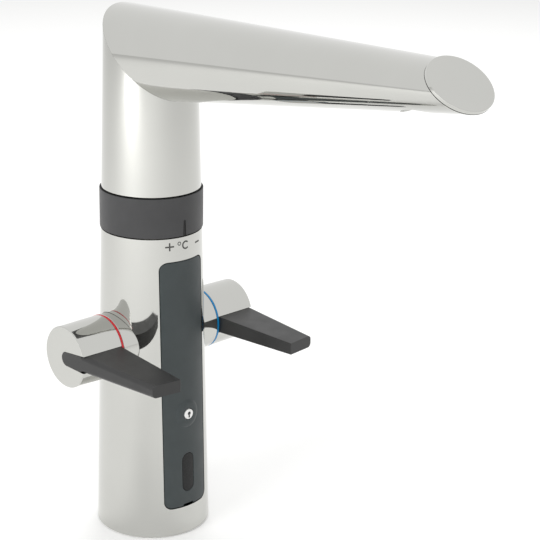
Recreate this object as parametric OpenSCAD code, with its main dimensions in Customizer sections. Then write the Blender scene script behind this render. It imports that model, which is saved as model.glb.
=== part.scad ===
// Touchless kitchen mixer tap with two side handles, a temperature collar and a swivel spout.
// Origin on the deck at the column's axis, front towards -Y, hot water on -X, cold on +X.

/* [Column] */
// Outer radius of the column at the deck
column_base_r = 30; // [28:0.5:34]
// Height of the fixed lower column
column_h = 163.6; // [160:1:180]
// Radius lost for each millimetre of height
body_taper = 0.0248; // [0.015:0.001:0.03]
// Wall of the column shell
column_wall = 2.6; // [1.6:0.1:3]
// Chamfer round the foot of the column
foot_chamfer = 0.6; // [0.2:0.1:1.2]
// Thickness of the flange that closes the top of the column
top_flange_t = 4; // [3:0.5:6]

/* [Deck connection] */
// Thickness of the brass inlet block
inlet_t = 12; // [10:0.5:14]
// Wall radius of the hose ports, M10 x 1
port_r = 4.5; // [4:0.1:5]
// Half the spacing of the hose ports
port_x = 8; // [7.5:0.1:9]
// Distance of the hose ports behind the axis
port_y = 6; // [5:0.5:8]
// Wall radius of the fixing stud hole, M8
stud_r = 3.4; // [2.5:0.1:4]
// Distance of the stud hole in front of the axis
stud_y = 9; // [8:0.5:11]
// Inner radius of the deck gasket
gasket_in_r = 19.5; // [18:0.5:21]
// Radial width of the deck gasket
gasket_w = 5; // [3:0.5:6]
// Thickness of the deck gasket
gasket_t = 2.2; // [1.6:0.1:3]

/* [Front panel] */
// Height of the panel's lower edge
panel_z = 15.9; // [15:0.1:17]
// Distance of the panel's upper edge below the column's top
panel_drop = 13; // [11:0.1:20]
// Half the width of the panel
panel_half_w = 13.5; // [13:0.1:14.5]
// Corner radius of the panel
panel_corner = 3.8; // [2:0.1:5]
// Thickness of the panel
panel_t = 2.2; // [1.8:0.1:2.6]
// Gap round the panel
panel_gap = 0.5; // [0.2:0.1:0.8]
// Width of the pry notch in the panel's lower edge
notch_w = 6.5; // [4:0.5:9]
// Height of the pry notch
notch_h = 1; // [0.5:0.1:1.5]

/* [Sensor and button] */
// Height of the sensor window's lower end above the panel's lower edge
window_rise = 8; // [6:0.5:12]
// Width of the sensor window
window_w = 7.4; // [6:0.1:9]
// Length of the sensor window
window_h = 21.5; // [18:0.1:26]
// Height of the button above the panel's lower edge
button_rise = 51.8; // [46:0.1:58]
// Diameter of the button
button_d = 5.4; // [5:0.1:7]
// Travel of the button
button_travel = 0.8; // [0.4:0.1:1]
// Diameter of the raised boss round the button
boss_d = 15; // [12:0.5:18]
// Height of the boss above the panel
boss_rise = 1.1; // [0.6:0.1:1.5]

/* [Handles] */
// Distance of the handles' axis below the column's top
handle_drop = 58.4; // [54:0.2:60]
// Radius of the fixed necks
neck_r = 16.3; // [16:0.1:18]
// Distance from the column's axis to the end of a neck
neck_reach = 31.3; // [30:0.1:34]
// Width of the coloured ring on a handle
ring_w = 1.05; // [0.8:0.05:2]
// Length of a handle's hub
hub_len = 24; // [22:0.5:28]
// Radius of a hub beside the coloured ring
hub_r = 16.2; // [15.8:0.1:18]
// Radius of a hub at its end face
hub_end_r = 15.9; // [15:0.1:17]
// Wall at the end of a hub
hub_end_t = 4; // [3:0.5:5]
// Radius of the bore in a hub
hub_bore_r = 12.5; // [12:0.1:13]
// Turn of a handle from shut to fully open, in degrees
handle_turn = 90; // [60:5:90]

/* [Levers] */
// Reach of a lever in front of the handles' axis
lever_reach = 66.3; // [50:0.1:75]
// Width of a lever at its tip
lever_tip_w = 16.2; // [12:0.1:18]
// Distance that a lever's inner side runs outwards on its way to the tip
lever_inner_run = 3.8; // [2:0.1:6]
// Thickness of a lever at its tip
lever_tip_t = 6.2; // [4:0.1:7]
// Thickness of a lever where it leaves the hub
lever_root_t = 8.8; // [7:0.1:11]
// Radius of the lever's rounded root in the hub
lever_nose_r = 3.6; // [3:0.1:4.2]

/* [Temperature collar] */
// Height of the collar
collar_h = 20.4; // [18:0.1:24]
// Outer radius of the collar
collar_r = 26.4; // [26:0.1:28]
// Wall of the collar
collar_wall = 3; // [2:0.1:3.4]
// Turn of the collar each way, in degrees
collar_turn = 21; // [15:1:30]
// Height of the pointer groove
pointer_h = 8.2; // [5:0.1:12]
// Width of the pointer groove at its foot
pointer_w = 2.2; // [1:0.1:3]
// Outer radius of the mixing sleeve that the collar turns
sleeve_r = 13; // [12.5:0.1:13.5]

/* [Spout] */
// Height where the mitre crosses the column's axis
mitre_z = 253.8; // [246:0.1:270]
// Slope of the mitre, in degrees
mitre_slope = 41.7; // [38:0.1:45]
// Reach of the middle of the end face in front of the axis
spout_reach = 199.3; // [170:0.1:210]
// Height of the middle of the end face above the middle of the mitre
spout_rise = 16.8; // [10:0.1:20]
// Tilt of the end face back from upright, in degrees
end_tilt = 50.5; // [45:0.5:60]
// Half the width of the end face
end_half_w = 17.2; // [15:0.1:18]
// Half the height of the end face, along its slope
end_half_h = 15.1; // [13.5:0.1:16]
// Wall of the spout arm
arm_wall = 1.2; // [0.8:0.1:1.6]
// Wall of the spout riser
riser_wall = 1.5; // [1.2:0.1:1.8]
// Thickness of the end plate
end_plate_t = 1.8; // [1.4:0.1:3]
// Swing of the spout each way, in degrees
swivel_half = 60; // [40:5:70]

/* [Aerator] */
// Distance of the aerator behind the middle of the end face
aerator_setback = 18; // [16:0.5:30]
// Radius of the aerator's opening in the arm
aerator_r = 11; // [9.5:0.1:11.5]
// Depth of the aerator's mouth above the arm's lowest line
aerator_recess = 2.4; // [1.5:0.1:3]
// Height of the aerator
aerator_h = 6; // [5:0.5:6.5]

/* [Waterways] */
// Outer radius of the swivel spigot
spigot_r = 10.5; // [10:0.1:11]
// Bore radius of the spigot and the valve core
waterway_r = 6.5; // [5:0.1:7]
// Outer radius of the valve core
core_r = 15; // [14.5:0.1:15.5]
// Length of the valve core's upright barrel above the handles' axis
core_rise = 42.2; // [41:0.1:44]
// Outer radius of the supply tubes
tube_r = 5; // [4:0.1:5.2]
// Wall of the supply tubes
tube_wall = 1; // [0.6:0.1:1.4]
// Half the spacing of the supply tubes
tube_x = 14; // [13.5:0.1:15]
// Distance of the supply tubes behind the axis
tube_y = 4; // [3:0.5:5]
// Radius of the tie rods
rod_r = 2.5; // [2:0.1:2.6]
// Outer radius of the spout's inner water tube
inner_tube_r = 3.2; // [2.6:0.1:3.4]

/* [Valves] */
// Radius of the headworks in the valve core
headwork_r = 9.9; // [9.4:0.1:10.2]
// Radius of the handle spindles
spindle_r = 4; // [3.2:0.1:4.2]
// Radius of the ceramic discs
disc_r = 7.6; // [7:0.1:8]
// Thickness of a ceramic disc
disc_t = 2; // [1.5:0.1:2.4]
// Radius of the solenoid coil
coil_r = 8.6; // [8:0.1:8.8]
// Height of the solenoid above the handles' axis
solenoid_rise = 28.2; // [27:0.2:31]
// Lift of the solenoid's plunger
plunger_lift = 0.9; // [0.5:0.1:1]

/* [Electronics] */
// Radius of the battery cell
cell_r = 8.5; // [7:0.1:8.6]
// Length of the battery cell
cell_len = 34.5; // [28:0.5:40]
// Wall of the battery holder
holder_wall = 1.2; // [0.8:0.1:1.4]
// Half the width of the electronics tray
tray_half_w = 13.4; // [12.6:0.1:13.5]
// Thickness of the electronics tray
tray_t = 1.1; // [0.9:0.1:1.2]
// Half the width of the circuit board
board_half_w = 11; // [9:0.5:12]
// Thickness of the circuit board
board_t = 1.6; // [1:0.1:1.8]
// Length of the circuit board
board_h = 62; // [56:1:66]

/* [Fits] */
// Gap between pieces that are fixed to each other
seat = 0.05; // [0.03:0.01:0.08]
// Radial gap of a running fit
running = 0.08; // [0.05:0.01:0.1]
// Gap between pieces that pass each other
clear = 0.3; // [0.2:0.05:0.4]

/* [Hidden] */
$fn = 64;
hull_fn = 48;
cut = 1;
far = 80;
quarter_turn = 90;
chrome = "#C9CCCD";
brass = "#B9975B";
copper = "#B8734A";
steel = "#9A9DA0";
graphite = "#474747";
slate = "#3F4545";
black = "#1E1F20";
white = "#F2F2EE";
ceramic = "#E6E1D6";
acetal = "#DAD8D0";
board_green = "#2E5B3C";
hot_red = "#D22630";
cold_blue = "#0A7AB8";

// Heights of the stack, from the deck up
handle_z = column_h - handle_drop;
panel_h = column_h - panel_drop - panel_z;
core_neck_h = 10;
block_margin = 0.4;
flange_margin = 1;
mitre_margin = 1;
spigot_proud = 5;
seal_drop = 2.4;
seal_pitch = 2.8;
riser_screw_rise = 5;
bush_margin = 1;
drive_z = 4;
drive_t = 3;
lower_bush_h = 15;
core_top = handle_z + core_rise;
ledge_z = inlet_t + seat;
ledge_t = 2;
ledge_w = 4.4;
block_r = column_base_r - column_wall - block_margin;
collar_z = column_h + clear;
collar_top = collar_z + collar_h;
riser_z = collar_top + clear;
spigot_z = core_top + core_neck_h;
spigot_flange_z = collar_z + drive_z + drive_t + clear;
spigot_flange_t = 3;
spigot_flange_r = collar_r - collar_wall - flange_margin;
bearing_t = 1.4;
lower_bush_z = spigot_flange_z + spigot_flange_t + bearing_t + 2 * seat;
mitre_low = mitre_z - body_r(mitre_z) * tan(mitre_slope) - mitre_margin;
mitre_top = mitre_z + body_r(mitre_z) * tan(mitre_slope) + mitre_margin;
upper_bush_h = 7;
upper_bush_z = mitre_low - upper_bush_h;
spigot_top = mitre_low + spigot_proud;
seal_t = 1.8;
seal_heights = [spigot_top - seal_drop, spigot_top - seal_drop - seal_pitch];
riser_screw_z = riser_z + riser_screw_rise;
riser_screw_sink = 0.4;
riser_screw_len = 5;
stop_ring_t = 4;
stop_ring_r = 18;
stop_ring_z = lower_bush_z + lower_bush_h + clear;
stop_pin_circle = 14.6;
stop_pin_r = 1.6;

// Collar and mixing sleeve
sleeve_z = core_top + clear;
washer_in_r = 16;
washer_out_r = 21.5;
washer_t = 1.5;
pointer_depth = 0.6;
pointer_angle = -0.7;
collar_web_gap = 6;
collar_web_r = sleeve_r + collar_web_gap;
sleeve_hole_margin = 0.1;
sleeve_hole_r = 2;
sleeve_hole_rise = 5;
sleeve_hole_turn = 45;
collar_stop_circle = 23.3;
collar_stop_r = 1;
collar_stop_socket = 3;

// Deck connection
port_depth = 8;
port_link_r = 3.4;
port_link_drop = 3;
stud_depth = 10;
tube_socket_depth = 3.8;
rod_circle = 19.4;
rod_angles = [28, -28, 114, -114];
rod_socket = 8;
set_screw_r = 2;
set_screw_socket = 5;
set_screw_sink = 0.6;
set_screw_z = inlet_t / 2;
small_screw_r = 1.5;
socket_ratio = 0.55;

// Valve core
cross_r = 14;
cross_half = 22;
headwork_in = 7.9;
headwork_bore_r = headwork_r + seat;
core_foot_t = 7;
core_foot_z = handle_z - neck_r - clear - core_foot_t;
foot_floor = 1;
foot_socket = core_foot_t - foot_floor;
passage_r = 3;
passage_x = 12.8;
passage_wall = 1.7;
core_foot_r = 23.4;
core_front = 16.4;
web_hole_r = 3;
solenoid_z = handle_z + solenoid_rise;
solenoid_socket_r = 6.2;
solenoid_socket_depth = 5;
guide_r = 4.1;
guide_wall = 1;
guide_flange_t = 1.8;
plunger_r = guide_r - guide_wall - running;
coil_gap = 0.7;
coil_wall_r = body_r(solenoid_z + coil_r) - panel_t;
coil_len = sqrt(coil_wall_r * coil_wall_r - coil_r * coil_r) - core_r - coil_gap;
guide_proud = 0.8;
guide_end = core_r + coil_len + guide_proud;
valve_seat_inset = 1;
plunger_back = core_r - solenoid_socket_depth + 2 * seat;
plunger_len = guide_end - guide_wall - plunger_back - plunger_lift - seat;
tray_screw_x = 5;
tray_screw_depth = 5;
tray_screw_head = 1.6;
tray_boss_wall = 1.5;

// Headworks and handles
disc_chamber_r = disc_r + clear;
foot_start = headwork_in + 2 * disc_t + 3 * seat;
tab_play = 4;
spindle_foot_t = 2.5;
foot_room = spindle_foot_t + 2 * seat;
spindle_foot_r = 6;
stop_tab_r = 7.2;
stop_root_r = 5;
stop_tab_turn = 20;
stop_start = 20;
window_drill_r = 1.2;
hex_r = 12;
hex_t = 5;
headwork_nose_r = 7.5;
neck_in_r = cross_r + seat;
neck_overlap = 4;
neck_gap = 0.15;
neck_start = cross_half - neck_overlap;
neck_hole_r = neck_r + neck_gap;
ring_start = neck_reach + neck_gap;
hub_start = ring_start + ring_w + seat;
hub_reach = hub_start + hub_len;
hub_chamfer = 0.45;
adapter_r = 6.1;
adapter_inset = 0.8;
adapter_gap = 1.6;
flange_inset = 8;
spindle_short = 1;
headwork_proud = 0.6;
adapter_start = hub_start + adapter_inset;
adapter_end = hub_reach - hub_end_t - adapter_gap;
flange_start = hub_start + flange_inset;
flange_t = 4;
spindle_end = adapter_end - spindle_short;
headwork_end = ring_start + headwork_proud;
grub_start = 9;

// Levers
lever_in = hub_start + clear;
lever_out = hub_reach;
lever_shoulder = 14;
lever_slit = 0.12;
nose_forward = 1.2;
nose_drop = 0.6;
nose_step = 7.5;
tip_skew = 1.9;

// Panel, sensor and button
panel_back = panel_z + panel_h;
window_z = panel_z + window_rise;
button_z = panel_z + button_rise;
boss_root = 1.4;
boss_flare = 0.5;
boss_slope = 3;
panel_front = body_r(button_z);
button_proud = 0.3;
button_face = panel_front + boss_rise + button_proud;
button_clear = 0.25;
button_flange_w = 1.3;
button_flange_r = button_d / 2 + button_flange_w;
button_flange_t = 0.8;
button_flange_gap = 0.1;
panel_inner_r = body_r(button_z + button_flange_r) - panel_t;
button_flange_front = sqrt(panel_inner_r * panel_inner_r - button_flange_r * button_flange_r)
    - button_flange_gap;
window_gap = 0.1;
window_lip = 1;
tray_margin = 0.5;
tray_back = core_front + tray_t + tray_margin;
tray_z = inlet_t + ledge_t + tray_margin;
tray_h = panel_back - tray_z;
tray_rail_w = 1.2;
board_back = tray_back + seat;
board_rise = 4;
board_z = tray_z + board_rise;
board_front = board_back + board_t;
sensor_w = 9.4;
lens_r = window_w / 4;
sensor_front = body_r(window_z + window_h) - panel_t - window_lip - lens_r - clear;
switch_w = 6;
switch_front = button_flange_front - button_flange_t - button_travel - clear;
switch_body_t = 2.6;
cell_gap = 0.25;
cell_y = tray_back - tray_t - holder_wall - cell_r - cell_gap;
cell_button_ratio = 0.38;
cell_button_h = 1.5;
holder_floor = 2.4;
cell_z = inlet_t + holder_floor + seat;
holder_lip = 4;

// Spout arm
tip_z = mitre_z + spout_rise;
aerator_reach = spout_reach - aerator_setback;
arm_low_y = body_r(mitre_z);
arm_low_z = mitre_z - arm_low_y * tan(mitre_slope);
tip_low_y = spout_reach + end_half_h * sin(end_tilt);
tip_low_z = tip_z - end_half_h * cos(end_tilt);
under_slope = atan2(tip_low_z - arm_low_z, tip_low_y - arm_low_y);
aerator_z = arm_low_z + (aerator_reach - arm_low_y) * tan(under_slope);
end_gap = 0.35;
plate_plug_t = 1.6;
plate_bevel = 0.5;
plug_inset = 2.6;
aerator_ring_wall = 1.4;
aerator_seat_wall = 1.5;
insert_inset = 0.8;
insert_short = 2;
insert_hole_r = 1;
insert_hole_depth = 2;
insert_pitch = 2.9;
plate_t = 0.02;

// Tube inside the spout
socket_lap = 6;
socket_head = 5;
socket_wall = 2.4;
elbow_rise = 4;
boss_wall = 1.4;
socket_z = spigot_top - socket_lap;
socket_top = spigot_top + socket_head;
socket_r = spigot_r + socket_wall;
port_z = socket_top + elbow_rise;
port_boss_r = inner_tube_r + boss_wall;
port_len = 14;
port_socket = 7;
port_well_r = 4;
port_wall = 1.6;
inner_wall = 0.8;
cup_margin = 0.8;
cup_lap = 3;
cup_inset = 0.6;
aerator_cup_h = 2 * inner_tube_r + 2 * cup_margin;
aerator_mid = aerator_recess + aerator_h + aerator_cup_h / 2;
inner_slope = atan2(aerator_z + aerator_mid - port_z, aerator_reach);
inner_end = (aerator_reach - aerator_r + cup_lap) / cos(inner_slope);

// Outer radius of the tapered body at height z
function body_r(z) = column_base_r - body_taper * z;

// Point on the mitre's outline at angle t, set in by a wall, in the mitre plane's own axes
function mitre_point(t, inset) =
    let(lean = tan(mitre_slope) * cos(t),
        z = (mitre_z - (column_base_r - inset) * lean) / (1 - body_taper * lean),
        r = body_r(z) - inset)
    [r * sin(t), -r * cos(t) / cos(mitre_slope)];

// Tapered cone between two heights, set in from the outer surface
module body_cone(z1, z2, inset = 0) {
    translate([0, 0, z1])
        cylinder(h = z2 - z1, r1 = body_r(z1) - inset, r2 = body_r(z2) - inset);
}

module ring(outer, inner, z, h) {
    translate([0, 0, z])
        difference() {
            cylinder(h = h, r = outer);
            translate([0, 0, -cut]) cylinder(h = h + 2 * cut, r = inner);
        }
}

module disc(r, z, h) {
    translate([0, 0, z]) cylinder(h = h, r = r);
}

// Turns what lies along +Z at the origin to lie along +X at the handles' axis
module on_handle_axis() {
    translate([0, 0, handle_z]) rotate([0, quarter_turn, 0]) children();
}

// Turns what lies along +Z at the origin to point to the front at height z
module to_front(z) {
    translate([0, 0, z]) rotate([quarter_turn, 0, 0]) children();
}

// Turns what lies along +Z at the origin to point to the back at height z
module to_back(z) {
    translate([0, 0, z]) rotate([-quarter_turn, 0, 0]) children();
}

module hot_side() {
    mirror([1, 0, 0]) children();
}

module both_sides() {
    children();
    hot_side() children();
}

module pill(w, h) {
    square([w, h - w], center = true);
    for (y = [-1, 1]) translate([0, y * (h - w) / 2]) circle(r = w / 2);
}

module rounded_rectangle(w, h, r) {
    square([w - 2 * r, h], center = true);
    square([w, h - 2 * r], center = true);
    for (x = [-1, 1], y = [-1, 1]) translate([x * (w / 2 - r), y * (h / 2 - r)]) circle(r = r);
}

// Upright rounded bar that points to the front, for cutting panels and windows out of the wall
module front_bar(w, z, h, r) {
    to_front(z + h / 2) linear_extrude(far) rounded_rectangle(w, h, r);
}

// Upright bar with round ends that points to the front, grown by a margin
module window_bar(margin) {
    to_front(window_z + window_h / 2) linear_extrude(far) pill(window_w + 2 * margin, window_h + 2 * margin);
}

// Layer of the body's wall between two depths, as high as the panel
module wall_layer(outer_inset, inner_inset) {
    difference() {
        body_cone(panel_z - cut, panel_back + cut, outer_inset);
        body_cone(panel_z - 2 * cut, panel_back + 2 * cut, inner_inset);
    }
}

module at_rods() {
    for (a = rod_angles) rotate([0, 0, a]) translate([0, rod_circle, 0]) children();
}

module at_tubes() {
    for (x = [-tube_x, tube_x]) translate([x, tube_y, 0]) children();
}

module at_passages() {
    for (x = [-passage_x, passage_x]) translate([x, tube_y, 0]) children();
}

module column_shell() {
    color(chrome)
    difference() {
        union() {
            chamfered_foot();
            body_cone(foot_chamfer, column_h);
        }
        disc(block_r + seat, -cut, ledge_z + cut);
        disc(block_r - ledge_w, 0, ledge_z + ledge_t + cut);
        body_cone(ledge_z + ledge_t, column_h - top_flange_t, column_wall);
        disc(sleeve_r + clear + sleeve_hole_margin, 0, column_h + cut);
        ring(washer_out_r + seat, washer_in_r - seat, column_h + clear - washer_t - seat, far);
        translate([0, collar_stop_circle, 0])
            disc(collar_stop_r + seat, column_h - collar_stop_socket, far);
        front_bar(2 * (panel_half_w + panel_gap), panel_z - panel_gap, panel_h + 2 * panel_gap,
            panel_corner + panel_gap);
        on_handle_axis() translate([0, 0, -far / 2]) cylinder(h = far, r = neck_hole_r);
        to_back(set_screw_z) cylinder(h = far, r = set_screw_r + seat);
    }
}

module chamfered_foot() {
    cylinder(h = foot_chamfer, r1 = body_r(0) - foot_chamfer, r2 = body_r(foot_chamfer));
}

module deck_gasket() {
    color(black) ring(gasket_in_r + gasket_w, gasket_in_r, 0, gasket_t);
}

module inlet_block() {
    color(brass)
    difference() {
        disc(block_r, 0, inlet_t);
        ring(gasket_in_r + gasket_w + seat, gasket_in_r - seat, -cut, gasket_t + seat + cut);
        for (x = [-port_x, port_x]) translate([x, port_y, 0]) disc(port_r, -cut, port_depth + cut);
        translate([0, -stud_y, 0]) disc(stud_r, -cut, stud_depth + cut);
        at_tubes() disc(tube_r + seat, inlet_t - tube_socket_depth, far);
        at_tubes() disc(port_link_r, port_depth - port_link_drop, far);
        at_rods() disc(rod_r + seat, inlet_t - rod_socket, far);
        to_back(set_screw_z) translate([0, 0, block_r - set_screw_socket])
            cylinder(h = far, r = set_screw_r + seat);
    }
}

// Grub screw with a hexagon socket in its outer end, standing along +Z with that end at the origin
module grub_screw(r, length) {
    color(steel)
    difference() {
        translate([0, 0, -length]) cylinder(h = length, r = r);
        translate([0, 0, -r]) cylinder(h = far, r = r * socket_ratio, $fn = 6);
    }
}

module base_set_screw() {
    sunk_end = body_r(set_screw_z) - set_screw_sink;
    to_back(set_screw_z) translate([0, 0, sunk_end])
        grub_screw(set_screw_r, sunk_end - block_r + set_screw_socket - seat);
}

module supply_tubes() {
    color(copper)
    at_tubes() ring(tube_r, tube_r - tube_wall, inlet_t - tube_socket_depth + seat,
        core_foot_z + foot_socket - inlet_t + tube_socket_depth - 2 * seat);
}

module tie_rods() {
    color(steel)
    at_rods() disc(rod_r, inlet_t - rod_socket + seat,
        core_foot_z + foot_socket - inlet_t + rod_socket - 2 * seat);
}

module valve_core() {
    color(brass)
    difference() {
        union() {
            disc(core_r, core_foot_z, core_top - core_foot_z);
            disc(spigot_r, core_top, core_neck_h);
            intersection() {
                disc(core_foot_r, core_foot_z, core_foot_t);
                translate([-far / 2, -core_front, 0]) cube([far, far, far * 2]);
            }
            on_handle_axis() translate([0, 0, -cross_half]) cylinder(h = 2 * cross_half, r = cross_r);
            at_passages() disc(passage_r + passage_wall, core_foot_z, handle_z - core_foot_z);
            for (x = [-tray_screw_x, tray_screw_x]) translate([x, 0, 0])
                to_front(handle_z) cylinder(h = core_front, r = small_screw_r + tray_boss_wall);
        }
        disc(waterway_r, handle_z, far * 2);
        both_sides() on_handle_axis() translate([0, 0, headwork_in]) cylinder(h = far, r = headwork_bore_r);
        on_handle_axis() cylinder(h = 2 * (headwork_in + cut), r = web_hole_r, center = true);
        at_tubes() disc(tube_r + seat, core_foot_z - cut, foot_socket + cut);
        at_passages() disc(passage_r, core_foot_z, handle_z - core_foot_z);
        at_rods() disc(rod_r + seat, core_foot_z - cut, foot_socket + cut);
        translate([0, -core_r + solenoid_socket_depth, 0]) to_front(solenoid_z)
            cylinder(h = far, r = solenoid_socket_r);
        to_front(solenoid_z) cylinder(h = core_r, r = plunger_r - valve_seat_inset);
        for (x = [-tray_screw_x, tray_screw_x]) translate([x, tray_screw_depth - core_front, 0])
            to_front(handle_z) cylinder(h = far, r = small_screw_r + seat);
    }
}

// Part of a ring from one angle on through a turn, with its flat side at the origin
module sector(outer, inner, start, turn, h) {
    rotate([0, 0, start]) rotate_extrude(angle = turn) translate([inner, 0]) square([outer - inner, h]);
}

// Brass body of a shut-off valve on the +X side, open inwards for its ceramic discs
module headwork() {
    color(brass)
    on_handle_axis()
    difference() {
        union() {
            translate([0, 0, headwork_in + seat]) cylinder(h = cross_half - headwork_in, r = headwork_r);
            translate([0, 0, cross_half + seat]) cylinder(h = hex_t, r = hex_r, $fn = 6);
            translate([0, 0, cross_half]) cylinder(h = headwork_end - cross_half, r = headwork_nose_r);
        }
        translate([0, 0, headwork_in - cut]) cylinder(h = 2 * disc_t + 3 * seat + cut, r = disc_chamber_r);
        cylinder(h = far, r = spindle_r + running);
        translate([0, 0, foot_start - seat]) cylinder(h = foot_room, r = spindle_foot_r + running);
        translate([0, 0, foot_start - seat])
            sector(stop_tab_r + running, stop_root_r, stop_start, stop_tab_turn + handle_turn + tab_play,
                foot_room);
        for (a = [0, quarter_turn]) translate([0, 0, foot_start + spindle_foot_t / 2])
            rotate([quarter_turn, 0, a]) cylinder(h = far, r = window_drill_r, center = true);
    }
}

module fixed_disc() {
    color(ceramic)
    on_handle_axis() difference() {
        translate([0, 0, headwork_in + 2 * seat]) cylinder(h = disc_t, r = disc_r);
        for (y = [-1, 1]) translate([0, y * disc_r / 2, 0]) cylinder(h = far, r = disc_r / 4);
    }
}

module turning_disc() {
    color(ceramic)
    on_handle_axis() difference() {
        translate([0, 0, headwork_in + disc_t + 2.5 * seat]) cylinder(h = disc_t - seat, r = disc_r);
        for (x = [-1, 1]) translate([x * disc_r / 2, 0, 0]) cylinder(h = far, r = disc_r / 4);
    }
}

module spindle() {
    color(brass)
    on_handle_axis() translate([0, 0, foot_start]) union() {
        cylinder(h = spindle_foot_t, r = spindle_foot_r);
        sector(stop_tab_r, stop_root_r, stop_start + handle_turn + tab_play / 2, stop_tab_turn,
            spindle_foot_t);
        cylinder(h = spindle_end - foot_start, r = spindle_r);
    }
}

module neck() {
    color(chrome)
    on_handle_axis() ring(neck_r, neck_in_r, neck_start, neck_reach - neck_start);
}

module coloured_ring(shade) {
    color(shade)
    on_handle_axis() ring(neck_r, hub_bore_r, ring_start, ring_w);
}

// Side view of a lever in the plane of its reach and its height, grown by a margin
module lever_profile(margin = 0) {
    nose_r = lever_nose_r + margin;
    nose = [for (a = [quarter_turn : nose_step : 3 * quarter_turn])
        [nose_forward + nose_r * cos(a), nose_r * sin(a) - nose_drop]];
    polygon(concat(nose, [
        [lever_shoulder, -lever_root_t / 2 - margin],
        [lever_reach, -lever_tip_t / 2 - margin],
        [lever_reach, lever_tip_t / 2 + margin],
        [lever_shoulder, lever_root_t / 2 + margin]
    ]));
}

// Bar with the lever's side view, from x1 to x2
module lever_bar(x1, x2, margin = 0) {
    translate([x1, 0, handle_z]) rotate([quarter_turn, 0, quarter_turn]) mirror([1, 0, 0])
        linear_extrude(x2 - x1) lever_profile(margin);
}

module lever_plan() {
    tip_in = lever_in + lever_inner_run;
    polygon([
        [lever_in, lever_nose_r],
        [lever_out, lever_nose_r],
        [lever_out, -lever_shoulder],
        [tip_in + lever_tip_w, -lever_reach + tip_skew],
        [tip_in, -lever_reach],
        [lever_in, -hub_r]
    ]);
}

module lever() {
    color(graphite)
    difference() {
        intersection() {
            lever_bar(lever_in, lever_out);
            translate([0, 0, handle_z - far / 2]) linear_extrude(far) lever_plan();
        }
        on_handle_axis() cylinder(h = hub_reach - hub_end_t - seat, r = adapter_r + 2 * seat);
    }
}

module hub() {
    color(chrome)
    difference() {
        on_handle_axis() difference() {
            union() {
                translate([0, 0, hub_start])
                    cylinder(h = hub_len - hub_chamfer, r1 = hub_r, r2 = hub_end_r);
                translate([0, 0, hub_reach - hub_chamfer])
                    cylinder(h = hub_chamfer, r1 = hub_end_r, r2 = hub_end_r - hub_chamfer);
            }
            cylinder(h = hub_reach - hub_end_t, r = hub_bore_r);
            translate([0, 0, flange_start + flange_t / 2]) rotate([0, quarter_turn, 0])
                cylinder(h = far, r = small_screw_r + seat);
        }
        lever_bar(hub_start - cut, hub_reach + cut, lever_slit);
    }
}

module adapter() {
    color(acetal)
    difference() {
        on_handle_axis() difference() {
            union() {
                translate([0, 0, adapter_start]) cylinder(h = adapter_end - adapter_start, r = adapter_r);
                translate([0, 0, flange_start]) cylinder(h = flange_t, r = hub_bore_r - seat);
            }
            cylinder(h = spindle_end + seat, r = spindle_r + seat);
            translate([0, 0, flange_start + flange_t / 2]) rotate([0, quarter_turn, 0])
                translate([0, 0, grub_start - seat]) cylinder(h = far, r = small_screw_r + seat);
        }
        difference() {
            lever_bar(flange_start - cut, flange_start + flange_t + cut, lever_slit);
            on_handle_axis() cylinder(h = far, r = adapter_r);
        }
    }
}

module handle_grub_screw() {
    on_handle_axis() translate([0, 0, flange_start + flange_t / 2]) rotate([0, quarter_turn, 0])
        translate([0, 0, hub_end_r]) grub_screw(small_screw_r, hub_end_r - grub_start);
}

module swivel_spigot() {
    color(brass)
    difference() {
        union() {
            disc(spigot_r, spigot_z + seat, spigot_top - spigot_z);
            disc(spigot_flange_r, spigot_flange_z, spigot_flange_t);
        }
        disc(waterway_r, spigot_z - cut, far * 2);
        for (z = seal_heights) ring(spigot_r + cut, spigot_r - seal_t, z, seal_t);
    }
}

module spigot_seals() {
    color(black)
    for (z = seal_heights) ring(spigot_r + seat / 2, spigot_r - seal_t + seat, z + seat, seal_t - 2 * seat);
}

// Pin in the column's top that stands in the collar's arc slot
module collar_stop_pin() {
    color(steel)
    translate([0, collar_stop_circle, 0])
        disc(collar_stop_r, column_h - collar_stop_socket + seat, collar_stop_socket + drive_z - clear);
}

module collar_washer() {
    color(acetal) ring(washer_out_r, washer_in_r, column_h + clear - washer_t, washer_t - seat);
}

module bearing_washer() {
    color(acetal) ring(spigot_flange_r, spigot_r + seat, spigot_flange_z + spigot_flange_t + seat, bearing_t);
}

// Arc slot behind the axis in which a pin on the given circle can swing half_angle each way
module arc_slot(circle_r, slot_r, half_angle, z, h) {
    translate([0, 0, z - cut])
        rotate([0, 0, quarter_turn - half_angle])
            rotate_extrude(angle = 2 * half_angle)
                translate([circle_r - slot_r, 0]) square([2 * slot_r, h + 2 * cut]);
    for (a = [-half_angle, half_angle]) rotate([0, 0, a])
        translate([0, circle_r, 0]) disc(slot_r, z - cut, h + 2 * cut);
}

// Ring on the spigot with an arc slot behind it, in which the bush's stop pin swings
module swivel_stop_ring() {
    color(steel)
    difference() {
        ring(stop_ring_r, spigot_r + seat, stop_ring_z, stop_ring_t);
        arc_slot(stop_pin_circle, stop_pin_r + clear, swivel_half, stop_ring_z, stop_ring_t);
    }
}

module electronics_tray() {
    color(black)
    difference() {
        intersection() {
            union() {
                translate([-tray_half_w, -tray_back, tray_z]) cube([2 * tray_half_w, tray_t, tray_h]);
                for (x = [-tray_half_w, tray_half_w - tray_rail_w])
                    translate([x, -far, tray_z]) cube([tray_rail_w, far - tray_back + tray_t, tray_h]);
            }
            body_cone(0, column_h, column_wall + clear);
        }
        to_front(solenoid_z) cylinder(h = far, r = coil_r + clear);
        for (x = [-tray_screw_x, tray_screw_x]) translate([x, 0, 0])
            to_front(handle_z) cylinder(h = far, r = small_screw_r + seat);
    }
}

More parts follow.
